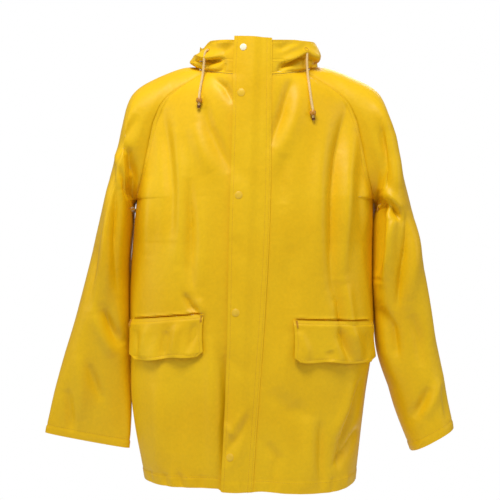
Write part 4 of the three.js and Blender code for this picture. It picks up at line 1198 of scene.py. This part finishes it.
def pocket_bag(name):
    """A knit bag behind the slit, close to the front round its rim and deeper in its middle."""
    rows = np.linspace(BAG_TOP, BAG_FOOT, 36)
    x, z, row, col = pocket_grid(POCKETS[name], rows, 36, cut_corner=0.0, inset=0.02)
    points, normals, under = over_front(x, z)
    from_end = 3 * np.minimum(row - BAG_TOP, BAG_FOOT - row) / (BAG_FOOT - BAG_TOP)
    rim = smooth(np.minimum(1, np.minimum(4 * np.minimum(col, 1 - col), from_end)))
    bag = cloth_piece(f"pocket_bag_{name}_cloth", points, BODY_MIDDLE, thick=0.8,
                      rise=under - mix(4.6, 13.5, rim), aim=normals, finishes=(knit, knit))
    stand_for(bag, [f"pocket_bag_{name}"], "coat")
    hang(bag)


for name in POCKETS:
    pocket_flap(name)
    pocket_bag(name)

# %% [markdown]
# ## Hood
# The hood lies down. Its front edge stands round the neck as a collar, with a tunnel inside for the
# cord, and its bag lies folded on the back with the knit lining showing in its mouth. Cloth that has
# been pushed down like this rolls over itself, so the folds here are deep and short.

# %% Collar folds
collar_folds = {
    "left": [([(50, 808), (68, 817), (86, 828), (100, 836)], 5.5, -13, 2.4),
             ([(40, 790), (54, 806), (62, 812)], 6, -4),
             ([(96, 834), (112, 826), (126, 820)], 5, -7), ([(52, 836), (74, 846), (96, 856)], 7, 4),
             ([(40, 862), (70, 862), (104, 862)], 6, 3), ([(66, 800), (88, 806), (112, 808)], 7, 4.5),
             ([(34, 846), (50, 842), (66, 848)], 7, -2.5)],
    "right": [([(-64, 821), (-84, 822), (-104, 824), (-122, 826)], 5.5, -13, 2.4),
              ([(-40, 852), (-58, 838), (-74, 830)], 7, -3),
              ([(-70, 794), (-62, 804), (-58, 816)], 5, -4),
              ([(-62, 806), (-84, 806), (-108, 806)], 8, 5),
              ([(-84, 856), (-94, 850), (-104, 842)], 6, -3),
              ([(-46, 862), (-60, 856), (-74, 852)], 7, 3)],
}
collar_lips = {
    "left": [([(54, 818), (70, 828), (88, 839), (104, 848)], 6.5, 9),
             ([(96, 846), (114, 838), (128, 832)], 6, 6)],
    "right": [([(-58, 834), (-84, 833), (-104, 835), (-124, 838)], 7, 10)],
}


def crumple_collar(name, side, points, angle, u):
    """Rolls the hood's sides out over the shoulders: the right side droops, the left stands."""
    window = smooth(angle, 0.96, 1.4) * (1 - smooth(angle, 1.75, BACK_CORNER))
    away = stack(side * np.sin(angle), -np.cos(angle), 0)
    if name == "right":
        out, drop = 15 * np.exp(-((u - 0.3) / 0.38) ** 2) + 4 * u, 20 * u
    else:
        out, drop = 12 * np.exp(-((u - 0.35) / 0.42) ** 2) + 8 * u, -2 * u
    moved = points + away * (window * out)[..., None]
    moved[..., 2] -= window * drop
    return moved


# %% Collars, each with the tunnel for the cord
EXIT_ANGLE, EXIT_HEIGHT = {"left": 1.08, "right": 1.0}, 0.68  # where the eyelet is
COLLAR_RUN = 58.0  # the collar's height, measured over its cloth
TUNNEL_LOW, TUNNEL_HIGH = 0.42, 0.95


def collar_form(name, side, angle, u):
    """Points of the crumpled collar, and how far each one is raised."""
    angle, u = np.broadcast_arrays(angle, u)
    points = crumple_collar(name, side, collar_point(side, angle, u), angle, u)
    x, z = points[..., 0], points[..., 2]
    front = smooth(np.cos(angle), -0.3, 0.25)
    roll = 4.5 * np.sin(angle * 5.2 + side * 1.1) * np.sin(u * 5.6 + angle * 1.7) * smooth(angle, 1.3,
                                                                                           1.8)
    calm = smooth(u, 0.0, 0.10) * (1 - 0.6 * smooth(u, 0.93, 1)) * smooth(BACK_CORNER - angle, 0, 0.12)
    exit_gap = np.hypot((angle - EXIT_ANGLE[name]) * NECK_HALF, (u - EXIT_HEIGHT) * COLLAR_RUN)
    flat_round_eyelet = 1 - 0.7 * np.exp(-(exit_gap / 10) ** 2)
    lip = strokes(x, z, collar_lips[name]) * front * calm
    rise = (strokes(x, z, collar_folds[name]) * front + roll) * calm * flat_round_eyelet + lip
    points[..., 2] -= 0.6 * lip
    return points, rise


def collar_piece(name, side, first_angle):
    """The collar from the opening round to the back, with its seams."""
    u = np.linspace(0, 1, 66)[:, None]
    angle = mix(first_angle(u), BACK_CORNER, np.linspace(0, 1, 150)[None, :])
    points, rise = collar_form(name, side, angle, u)
    for seam_at in (TUNNEL_LOW * COLLAR_RUN, TUNNEL_HIGH * COLLAR_RUN, 3):
        rise = rise - groove(u * COLLAR_RUN - seam_at, width=1.4)
    collar = cloth_piece(f"hood_collar_{name}_cloth", points, NECK_MIDDLE, thick=1.2, rise=rise)
    stand_for(collar, [f"hood_front_{name}"], "coat")
    hang(collar)


def casing_piece(name, side):
    """The tunnel's inner wall, sewn to the collar along its two long edges."""
    share = np.linspace(0, 1, 24)[:, None]
    angle = mix(0.9, BACK_CORNER * 0.985, np.linspace(0, 1, 60)[None, :])
    points, rise = collar_form(name, side, angle, mix(TUNNEL_LOW, TUNNEL_HIGH, share))
    depth = CLOTH + 1.3 + 7.2 * np.minimum(1, 3.2 * np.minimum(share, 1 - share))
    casing = cloth_piece(f"hood_casing_{name}_cloth", points, NECK_MIDDLE, thick=0.8, rise=rise - depth,
                         finishes=(knit, knit))
    stand_for(casing, [f"hood_casing_{name}"], "coat")
    hang(casing)


def angle_at(x):
    return np.arcsin(np.abs(x) / NECK_HALF)


def left_start(u):
    return angle_at(np.maximum(fold_x(FRONT_LENGTH + u * COLLAR_HEIGHTS[0]) - 2, 1))


def right_start(u):
    return -angle_at(fold_x(FRONT_LENGTH) - 4) + 0 * u


for name, side, start in (("left", 1.0, left_start), ("right", -1.0, right_start)):
    collar_piece(name, side, start)
    casing_piece(name, side)


# %% The hood's bag, folded on the back
POUCH_HALF, POUCH_DROP, POUCH_LEAN, MOUTH_DEEP = 120.0, 192.0, 6.0, 45.0


def pouch_ring(height, middle, half, deep, turn):
    """A rounded section of the bag, whose height may change round it."""
    c, s = boxy(turn, 2.5)
    return stack(POUCH_LEAN + half * c, middle + deep * s, height(c, s))


def mouth_height(c, s):
    """The mouth's edge: low at the neck seam and higher at its sides and rear."""
    return BACK_LENGTH + 1.6 + 34 * np.abs(c) ** 1.5 * smooth(s, -1, -0.2) + 12 * smooth(s, 0, 1)


def level(share):
    return lambda c, s: BACK_LENGTH - POUCH_DROP * share + 0 * c


def hood_bag():
    """The bag from its mouth down to its closed foot, flattened against the back."""
    turn = np.linspace(0, 2 * math.pi, 221)
    rings = [(mouth_height, BACK_NECK + MOUTH_DEEP + 0.6, POUCH_HALF, MOUTH_DEEP),
             (level(0.2), BACK_NECK + 60, POUCH_HALF + 10, 42),
             (level(0.46), BACK_NECK + 69, POUCH_HALF + 6, 33),
             (level(0.72), BACK_NECK + 71, POUCH_HALF - 12, 26),
             (level(0.92), BACK_NECK + 67, POUCH_HALF - 40, 17),
             (level(0.99), BACK_NECK + 66, POUCH_HALF - 64, 7),
             (level(1.0), BACK_NECK + 66, POUCH_HALF - 66, 0.3)]
    stations = seam_rows([pouch_ring(*ring, turn) for ring in rings])
    rows = np.concatenate([np.linspace(0, 0.83, 90)[:-1], np.linspace(0.83, 1, 14)])
    points = np.stack([through(stations, t) for t in rows])
    points[:, -1] = points[:, 0]
    deep = np.broadcast_to(rows[:, None], points.shape[:2])
    x, y = points[..., 0], points[..., 1]
    rim = np.clip(1 - deep / 0.16, 0, 1) ** 1.5 * smooth(y, BACK_NECK + 40, BACK_NECK + 80)
    points[..., 2] += rim * (34 * np.exp(-((x - 82) / 15) ** 2) + 6 * np.sin(x / 17))
    z = points[..., 2]
    rear = smooth(y, BACK_NECK + 56, BACK_NECK + 84)
    falls = strokes(x, z, [([(-92, 846), (-60, 770), (-30, 690)], 16, -6),
                           ([(98, 850), (66, 770), (44, 690)], 16, -6),
                           ([(-50, 850), (-30, 780), (-20, 720)], 16, 5),
                           ([(50, 850), (30, 770), (14, 700)], 18, 5),
                           ([(-118, 800), (-60, 742), (0, 730), (60, 742), (118, 800)], 14, -4),
                           ([(-100, 770), (-50, 712), (0, 704), (50, 712), (100, 770)], 14, 4)])
    from_seam = np.abs(x - POUCH_LEAN)
    seam = 0.6 * np.exp(-((from_seam - 6) / 4.5) ** 2) - groove(from_seam, 1.2, 1.8)
    rise = falls * rear + swell(x, z + 3 * y, 46, 2.2) + seam * rear
    rise = rise * smooth(deep, 0.0, 0.08) * (1 - smooth(deep, 0.8, 0.9))
    rolled = 3.0 * np.exp(-(deep / 0.03) ** 2) * rear
    bag = cloth_piece("hood_bag_cloth", points, (POUCH_LEAN, BACK_NECK + 60, 770), thick=1.1,
                      rise=rise + rolled,
                      wrapped=True)
    stand_for(bag, ["hood_back_left", "hood_back_right"])
    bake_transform(bag)
    hang(bag)


hood_bag()

# %% [markdown]
# ## Neck tape and hanger loop
# A narrow knit tape covers the neck seam inside, so nothing scratches the neck. The loop is a woven
# band sewn over the tape at the back. A hook bears on its middle, which is the origin of the part.


# %% Tape and loop
TAPE_ROWS, TAPE_COLS, TAPE_WIDTH = 8, 120, 14


def neck_tape():
    """A tape inside the neck seam, nearly all the way round."""
    row = np.linspace(0, 1, TAPE_ROWS)[:, None]
    turn = np.linspace(-1, 1, TAPE_COLS)[None, :] * (math.pi - 0.3)
    turn = np.broadcast_to(turn, (TAPE_ROWS, TAPE_COLS))
    seam = neck_point(math.pi - np.abs(turn), np.where(turn < 0, -1.0, 1.0))
    inward = stack(0, NECK_CENTRE, seam[..., 2]) - seam
    inward = inward / np.linalg.norm(inward, axis=-1, keepdims=True)
    points = seam + inward * 2.2 + stack(0, 0, 5 - TAPE_WIDTH * row)
    piece = cloth_piece("neck_tape_cloth", points, NECK_MIDDLE, thick=0.8, finishes=(knit, knit))
    stand_for(piece, ["neck_tape"], "coat")
    hang(piece)


def hanger_loop():
    """A flat band whose ends are sewn over the tape and whose middle hangs free."""
    low, high = (np.array(corner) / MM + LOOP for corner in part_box("hanger_loop"))
    y = (low[1] + high[1]) / 2
    top = float(neck_point(math.pi - math.asin(31 / NECK_HALF))[2])
    route = smooth_route([(-31, y + 0.6, top), (-24.8, y + 0.2, top - 9.6), (0, y - 0.6, top - 16),
                          (24.8, y + 0.2, top - 9.6),
                          (31, y + 0.6, top)], 16)
    along = np.gradient(route, axis=0)
    along /= np.linalg.norm(along, axis=1, keepdims=True)
    across = np.cross(along, [0, 1, 0])
    width = min(high[2] - low[2] - 16, 7.0) / 2
    points = route[None] + across[None] * np.linspace(-width, width, 7)[:, None, None]
    piece = cloth_piece("hanger_loop_band", points, (0, 200, 820), thick=1.4, finishes=(knit, knit))
    stand_for(piece, ["hanger_loop"], "coat")


neck_tape()
hanger_loop()

# %% [markdown]
# ## Press studs
# A press stud is four mouldings. The cap and the socket grip the flap from both sides, the stud and
# its rivet grip the front. One Geometry Nodes tree sets a domed disc with a raised rim on each point
# of a small mesh, turned to face out of the cloth.


# %% A tree that sets discs on points
def socket_of(tree, name, kind, value=None):
    """Adds an input and gives its identifier, by which a modifier sets it."""
    made = tree.interface.new_socket(name, in_out="INPUT", socket_type=kind)
    if value is not None:
        made.default_value = value
    return made.identifier


def start_tree(name, sizes):
    """A tree with a geometry in and out, a finish, and an input in metres for each named size."""
    tree = bpy.data.node_groups.new(name, "GeometryNodeTree")
    tree.interface.new_socket("Geometry", in_out="OUTPUT", socket_type="NodeSocketGeometry")
    keys = {"Geometry": socket_of(tree, "Geometry", "NodeSocketGeometry")}
    for size, value in sizes.items():
        keys[size] = socket_of(tree, size, "NodeSocketFloat", value)
    keys["Finish"] = socket_of(tree, "Finish", "NodeSocketMaterial")
    return tree, keys


def stud_tree():
    """A domed disc with a round rim on each point, turned to the point's facing."""
    tree, keys = start_tree("discs_on_points", {"Radius": 0.0074, "Height": 0.0022, "Rim": 0.0009})
    into = add_node(tree, "NodeGroupInput").outputs
    facing = add_node(tree, "GeometryNodeInputNamedAttribute", {"Name": "facing"},
                      data_type="FLOAT_VECTOR")
    turn = add_node(tree, "FunctionNodeAlignRotationToVector", {"Vector": facing.outputs["Attribute"]},
                    axis="Z")
    ball = add_node(tree, "GeometryNodeMeshUVSphere", {"Segments": 36, "Rings": 14, "Radius": 1.0})
    flat = add_node(tree, "ShaderNodeCombineXYZ",
                    {"X": into["Radius"], "Y": into["Radius"], "Z": into["Height"]})
    dome = add_node(tree, "GeometryNodeTransform",
                    {"Geometry": ball.outputs["Mesh"], "Scale": flat.outputs["Vector"]})
    inner = add_node(tree, "ShaderNodeMath", {0: into["Radius"], 1: into["Rim"]}, operation="SUBTRACT")
    ring = add_node(tree, "GeometryNodeCurvePrimitiveCircle",
                    {"Resolution": 36, "Radius": inner.outputs["Value"]})
    bead = add_node(tree, "GeometryNodeCurvePrimitiveCircle", {"Resolution": 10, "Radius": into["Rim"]})
    rim = add_node(tree, "GeometryNodeCurveToMesh",
                   {"Curve": ring.outputs["Curve"], "Profile Curve": bead.outputs["Curve"]})
    both = add_node(tree, "GeometryNodeJoinGeometry")
    tree.links.new(dome.outputs["Geometry"], both.inputs["Geometry"])
    tree.links.new(rim.outputs["Mesh"], both.inputs["Geometry"])
    put = add_node(tree, "GeometryNodeInstanceOnPoints",
                   {"Points": into["Geometry"], "Instance": both.outputs["Geometry"],
                                                          "Rotation": turn.outputs["Rotation"]})
    finish_tree(tree, put.outputs["Instances"], into["Finish"])
    return tree, keys


def finish_tree(tree, instances, finish):
    """Makes the instances real, smooth and finished, and ends the tree."""
    real = add_node(tree, "GeometryNodeRealizeInstances", {"Geometry": instances})
    smooth_faces = add_node(tree, "GeometryNodeSetShadeSmooth", {"Geometry": real.outputs["Geometry"]})
    painted = add_node(tree, "GeometryNodeSetMaterial",
                       {"Geometry": smooth_faces.outputs["Geometry"], "Material": finish})
    out = add_node(tree, "NodeGroupOutput")
    tree.links.new(painted.outputs["Geometry"], out.inputs["Geometry"])


def grow(name, start_mesh, tree_and_keys, **inputs):
    """Runs a tree on a start mesh and keeps the result as a plain mesh."""
    tree, keys = tree_and_keys
    seed = into_scene(name + "_start", start_mesh)
    modifier = seed.modifiers.new("grow", "NODES")
    modifier.node_group = tree
    for key, value in inputs.items():
        modifier[keys[key.replace("_", " ")]] = value
    seen = seed.evaluated_get(bpy.context.evaluated_depsgraph_get())
    mesh = bpy.data.meshes.new_from_object(seen)
    bpy.data.objects.remove(seed)
    mesh.name = name
    print(name, "faces", len(mesh.polygons))
    return into_scene(name, mesh)


def spots(name, points, facing, edges=()):
    """A mesh of points, with the direction that each one faces, for a tree to start from."""
    mesh = bpy.data.meshes.new(name)
    mesh.from_pydata(place(points).tolist(), edges, [])
    mesh.attributes.new("facing", "FLOAT_VECTOR", "POINT").data.foreach_set("vector",
                                                                            np.asarray(facing,
                                                                                       float).ravel())
    return mesh


# %% Caps, sockets, studs and rivets
FROM_FREE_EDGE = 15  # the studs' line, in mm from the flap's free edge
stud_heights = np.array([FRONT_LENGTH + 53, FRONT_LENGTH - 33, 558.5, 333, 59.6])


def nearest_spot(grid, normals, x, z):
    """The grid's point nearest to x and z, and its direction."""
    gap = (grid[..., 0] - x) ** 2 + (grid[..., 2] - z) ** 2
    spot = np.unravel_index(np.argmin(gap), gap.shape)
    return grid[spot], normals[spot]


cap_spots = [nearest_spot(*made_grids["storm_flap_cloth"], free_x(h) + FROM_FREE_EDGE, h)
             for h in stud_heights]
cap_places, cap_facing = (np.array(column) for column in zip(*cap_spots))
discs = stud_tree()


def discs_at(name, kind, numbers, push, body, finish, radius, height, rim):
    """Discs at some of the five studs, counted from the top and moved out of the cloth by push."""
    pick = [number - 1 for number in numbers]
    start = spots(name, cap_places[pick] + cap_facing[pick] * push, cap_facing[pick])
    piece = grow(name, start, discs, Finish=finish, Radius=radius, Height=height, Rim=rim)
    stand_for(piece, [f"{kind}_{number}" for number in numbers], body)


all_five = (1, 2, 3, 4, 5)
discs_at("snap_caps", "snap_cap", all_five[1:], 1.1, "storm_flap", snap_plastic, 0.0074, 0.0016, 0.0009)
# the top cap gets the near-white painted highlight
discs_at("snap_cap_top", "snap_cap", all_five[:1], 1.1, "storm_flap", snap_painted_highlight, 0.0066, 0.0016, 0.0009)
discs_at("snap_sockets", "snap_socket", all_five, -2.0, "storm_flap", snap_plastic, 0.0056, 0.001,
         0.0011)
discs_at("snap_studs", "snap_stud", all_five, -5.4, "coat", snap_plastic, 0.005, 0.0012, 0.0007)
discs_at("snap_rivets", "snap_rivet", all_five, -10.2, "coat", snap_plastic, 0.005, 0.0008, 0.0006)

# %% [markdown]
# ## Stitches
# The seams are lockstitched with thick thread, seven stitches to 25 mm. A second tree walks along
# lines that lie on the cloth and puts a short rounded stitch at each step, turned along the line.


# %% A tree that sews along lines
def stitch_tree():
    """A short rounded stitch at each step along the lines, turned along them."""
    tree, keys = start_tree("stitches_along_lines",
                            {"Pitch": 0.0034, "Length": 0.0026, "Thickness": 0.0005})
    into = add_node(tree, "NodeGroupInput").outputs
    line = add_node(tree, "GeometryNodeMeshToCurve", {"Mesh": into["Geometry"]})
    even = add_node(tree, "GeometryNodeResampleCurve",
                    {"Curve": line.outputs["Curve"], "Length": into["Pitch"]}, mode="LENGTH")
    points = add_node(tree, "GeometryNodeCurveToPoints", {"Curve": even.outputs["Curve"]},
                      mode="EVALUATED")
    turn = add_node(tree, "FunctionNodeAlignRotationToVector", {"Vector": points.outputs["Tangent"]},
                    axis="X")
    ball = add_node(tree, "GeometryNodeMeshUVSphere", {"Segments": 8, "Rings": 4, "Radius": 0.5})
    lie = add_node(tree, "GeometryNodeTransform",
                   {"Geometry": ball.outputs["Mesh"], "Rotation": (0, math.pi / 2, 0)})
    size = add_node(tree, "ShaderNodeCombineXYZ",
                    {"X": into["Length"], "Y": into["Thickness"], "Z": into["Thickness"]})
    put = add_node(tree, "GeometryNodeInstanceOnPoints", {
        "Points": points.outputs["Points"], "Instance": lie.outputs["Geometry"],
                                                          "Rotation": turn.outputs["Rotation"],
        "Scale": size.outputs["Vector"]})
    finish_tree(tree, put.outputs["Instances"], into["Finish"])
    return tree, keys


sewing = stitch_tree()


def at_gap(name, gap, lift, axis=0, end=False):
    """The grid line that lies gap mm from a grid's edge, measured over the cloth, point by point."""
    grid, normals = made_grids[name]
    if axis == 1:
        grid, normals = grid.swapaxes(0, 1), normals.swapaxes(0, 1)
    if end:
        grid, normals = grid[::-1], normals[::-1]
    run = np.concatenate([np.zeros((1, grid.shape[1])), np.cumsum(steps(grid), axis=0)])
    line = []
    for k in range(grid.shape[1]):
        i = int(np.clip(np.searchsorted(run[:, k], gap) - 1, 0, grid.shape[0] - 2))
        t = (gap - run[i, k]) / max(run[i + 1, k] - run[i, k], 1e-6)
        line.append(mix(grid[i, k], grid[i + 1, k], t) + normals[i, k] * lift)
    return np.array(line)


def sew(name, lines, body, nodes=(), **inputs):
    """Sews along lines of points, as one piece on one body."""
    points, edges = [], []
    for line in lines:
        first = sum(len(p) for p in points)
        points.append(line)
        edges += [(first + i, first + i + 1) for i in range(len(line) - 1)]
    points = np.vstack(points)
    piece = grow(name, spots(name, points, np.zeros_like(points), edges), sewing, Finish=thread,
                 **inputs)
    if nodes:
        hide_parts(*nodes)
    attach(piece, body)
    return piece


# %% Rows of stitches
ON_CLOTH, ON_COLLAR, ON_DOUBLED, ON_FLAP = 0.5, 0.6, 1.0, 1.1  # half each cloth's thickness, in mm
HEM_ROW, CUFF_ROW, SEAM_ROWS, NECK_ROW = 20, 18, (2, 8), 3  # how far from its edge each row lies
ARMPIT_ROW = 130  # the row of the back's grid at which the raglan seam starts

coat_lines = [at_gap("storm_flap_cloth", gap, ON_DOUBLED, axis=1, end=True) for gap in (3, 10)]
for panel in ("front_right_panel", "front_left_panel"):
    coat_lines += [at_gap(panel, HEM_ROW, ON_CLOTH)]
    coat_lines += [at_gap(panel, gap, ON_CLOTH, axis=1, end=True) for gap in SEAM_ROWS]
    coat_lines += [at_gap(panel, NECK_ROW, ON_CLOTH, end=True)]
coat_lines += [at_gap("back_panel", HEM_ROW, ON_CLOTH)]
for end in (False, True):
    coat_lines += [at_gap("back_panel", gap, ON_CLOTH, axis=1,
                          end=end)[ARMPIT_ROW:] for gap in SEAM_ROWS]
for name in ("left", "right"):
    collar = f"hood_collar_{name}_cloth"
    coat_lines += [at_gap(collar, gap, ON_COLLAR) for gap in (3, 24)]
    coat_lines += [at_gap(collar, 4, ON_COLLAR, end=True)]
sew("stitches_coat", coat_lines, "coat")
sew("stitches_storm_flap", [at_gap("storm_flap_cloth", 6, ON_DOUBLED, axis=1)], "storm_flap")
for name in ("left", "right"):
    cuff = at_gap(f"sleeve_{name}_cloth", CUFF_ROW, ON_CLOTH, end=True)
    sew(f"stitches_cuff_{name}", [cuff], f"sleeve_{name}")
    flap = f"pocket_flap_{name}_cloth"
    ends = [at_gap(flap, 6, ON_FLAP, axis=1, end=end)[6:-6] for end in (False, True)]
    sew(f"stitches_pocket_flap_{name}", [at_gap(flap, 6, ON_FLAP, end=True)[4:-4]] + ends,
        f"pocket_flap_{name}")
    sew(f"stitches_pocket_top_{name}", [at_gap(flap, 7, ON_FLAP)[3:-3]], f"pocket_flap_{name}")


# %% Bar tacks
TURNS, HALF_WIDTH, INWARD, OVER_FLAP = 27, 1.4, 1.5, 2.0  # a tack's turns, and sizes in mm


def zigzag(name, t):
    """A dense zigzag down one end of a pocket flap; t is its place along the flap."""
    grid, normals = made_grids[f"pocket_flap_{name}_cloth"]
    col = int(round(t * (grid.shape[1] - 1)))
    rows = np.linspace(1, 10, TURNS).round().astype(int)
    line = grid[rows, col] + normals[rows, col] * OVER_FLAP
    line[:, 2] = np.linspace(line[0, 2], line[-1, 2], TURNS)
    line[:, 0] += np.where(np.arange(TURNS) % 2, HALF_WIDTH,
                           -HALF_WIDTH) + (INWARD if t < 0.5 else -INWARD)
    return line


for name in ("left", "right"):
    sew(f"bar_tacks_{name}", [zigzag(name, 0.03), zigzag(name, 0.975)], f"pocket_flap_{name}",
        nodes=(f"pocket_tack_{name}_inner", f"pocket_tack_{name}_outer"), Pitch=0.0007, Length=0.0014,
        Thickness=0.0009)

# %% [markdown]
# ## Cord ends and beads
# The braid is a tube along the route that was settled at the start, with its UV running along it so
# that the plait follows the cord. The bead is turned: a barrel with a bore that the cord fills. The
# tail ends in a knot pulled tight and singed, which keeps the bead on.


# %% Tubes and turned pieces
def frame_along(route):
    """At each point of a route, its direction and two directions across it that don't twist."""
    along = np.gradient(route, axis=0)
    along /= np.linalg.norm(along, axis=1, keepdims=True)
    side = np.zeros_like(route)
    side[0] = np.cross(along[0], [0.3, 1, 0.2])
    for i in range(len(route)):
        held = side[i - 1] if i else side[0]
        held = held - along[i] * (held @ along[i])
        side[i] = held / np.linalg.norm(held)
    return along, side, np.cross(along, side)


def closed_piece(name, verts, faces, finish, uvs=()):
    """An object from points in mm and faces, turned to face outwards."""
    mesh = bpy.data.meshes.new(name)
    mesh.from_pydata(place(verts).tolist(), [], faces)
    if len(uvs):
        mesh.uv_layers.new(name="cord").uv.foreach_set("vector", (np.array(uvs, float) * MM).ravel())
    work = bmesh.new()
    work.from_mesh(mesh)
    bmesh.ops.recalc_face_normals(work, faces=work.faces)
    work.to_mesh(mesh)
    work.free()
    mesh.shade_smooth()
    mesh.materials.append(finish)
    return into_scene(name, mesh)


def tube(name, route, radii, finish, sides=24):
    """A closed round tube along a route, with rounded ends. radii may change along it."""
    along, a, b = frame_along(route)
    turn = np.linspace(0, 2 * math.pi, sides, endpoint=False)[None, :, None]
    radii = np.broadcast_to(radii, len(route)).astype(float)
    rings = route[:, None] + radii[:, None, None] * (np.cos(turn) * a[:, None]
                                                     + np.sin(turn) * b[:, None])
    tips = (route[0] - along[0] * radii[0] * 0.5, route[-1] + along[-1] * radii[-1] * 0.5)
    verts = np.vstack([rings.reshape(-1, 3), *tips])
    first, last = len(verts) - 2, len(verts) - 1
    run = np.concatenate([[0], np.cumsum(steps(route))])
    arc = CORD * 2 * math.pi / sides
    faces, uvs = [], []
    for i in range(len(route) - 1):
        for k in range(sides):
            n = (k + 1) % sides
            faces.append((i * sides + k, i * sides + n, (i + 1) * sides + n, (i + 1) * sides + k))
            u, w = k * arc, (k + 1) * arc
            uvs += [(u, run[i]), (w, run[i]), (w, run[i + 1]), (u, run[i + 1])]
    end = (len(route) - 1) * sides
    for k in range(sides):
        n = (k + 1) % sides
        faces += [(first, n, k), (last, end + k, end + n)]
        uvs += [(0, 0)] * 6
    return closed_piece(name, verts, faces, finish, uvs)


# half of the bead's turned outline, from the bore's rim to the widest ring: radius and height in mm
bead_half = [(2.45, 3.9), (3.2, 4.5), (4.6, 4.4), (5.5, 3.6), (5.95, 1.8), (6.0, 0)]


def turned_bead(name, centre, up):
    """A barrel with a bore, turned about the cord's direction."""
    profile = [(r, -h) for r, h in bead_half] + bead_half[-2::-1]
    up = up / np.linalg.norm(up)
    a = np.cross(up, [0, 1, 0])
    a /= np.linalg.norm(a)
    b = np.cross(up, a)
    turn = np.linspace(0, 2 * math.pi, 40, endpoint=False)
    rings = [[centre + up * h + r * (math.cos(t) * a + math.sin(t) * b) for t in turn] for r,
             h in profile]
    count, sides = len(profile), len(turn)
    faces = []
    for i in range(count):
        for k in range(sides):
            j, n = (i + 1) % count, (k + 1) % sides
            faces.append((i * sides + k, i * sides + n, j * sides + n, j * sides + k))
    return closed_piece(name, np.array(rings).reshape(-1, 3), faces, amber)


# %% The two ends
KNOT_TOP, KNOT_FOOT, KNOT_RINGS = -5.2, -0.2, 14  # in mm along the tail, from its tip
for name, stops in cord_routes.items():
    route = smooth_route(stops)
    end = tube(f"cord_end_{name}", route, CORD, braid)
    centre, above = np.array(stops[bead_stops[name]]), np.array(stops[bead_stops[name] - 1])
    bead = turned_bead(f"bead_{name}", centre, above - centre)
    tail = (route[-1] - route[-9]) / np.linalg.norm(route[-1] - route[-9])
    knot_line = route[-1][None] + tail[None] * np.linspace(KNOT_TOP, KNOT_FOOT, KNOT_RINGS)[:, None]
    two_turns = np.abs(np.sin(np.linspace(0, 2 * math.pi, KNOT_RINGS))) ** 0.7
    knot = tube(f"cord_knot_{name}", knot_line, CORD + 0.15 + 1.1 * two_turns, dark_tip)
    stand_for(end, [f"drawcord_end_{name}"], "coat")
    stand_for(bead, [f"cord_bead_{name}"], "coat")
    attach(knot, "coat")

# %% The hidden run of the cord, inside the tunnel
for name, side in (("left", 1.0), ("right", -1.0)):
    grid, normals = made_grids[f"hood_collar_{name}_cloth"]
    row = round((TUNNEL_LOW + TUNNEL_HIGH) / 2 * (len(grid) - 1))
    wanted = neck_point(np.array([EXIT_ANGLE[name] + 0.06, BACK_CORNER * 0.97]), side)
    first, last = (int(np.argmin(np.hypot(*(grid[0, :, :2] - p[:2]).T))) for p in wanted)
    inner = grid[row, first:last] - normals[row, first:last] * (CLOTH / 2 + 1.3 + CORD)
    run = tube(f"cord_run_{name}", smooth_route(inner[::6], 4), CORD, braid, sides=12)
    stand_for(run, [f"drawcord_run_{name}"], "coat")

# %% Eyelets where the cord comes out
EYELET = 4.2  # its radius in mm
for name in ("left", "right"):
    grid, normals = made_grids[f"hood_collar_{name}_cloth"]
    route_start = np.array(cord_routes[name][1])
    spot = np.unravel_index(np.argmin(((grid - route_start) ** 2).sum(-1)), grid.shape[:2])
    turn = np.linspace(0, 2 * math.pi, 49)
    _, a, b = frame_along(np.array([grid[spot], grid[spot] + normals[spot]]))
    ring = EYELET * (np.cos(turn)[:, None] * a[0] + np.sin(turn)[:, None] * b[0])
    loop = grid[spot] + normals[spot] * 0.7 + ring
    sew(f"eyelet_stitches_{name}", [loop], "coat", Pitch=0.0009, Length=0.0012, Thickness=0.0014)

# %% [markdown]
# ## Sizes, and the end
# The jacket's box is written beside the box of its solids, to see that no fold stands out too far.

# %% Boxes
drawn_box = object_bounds()
for label, corners in (("solids", cad_box), ("drawn", drawn_box)):
    print(label, [[round(float(c), 4) for c in corner] for corner in corners])
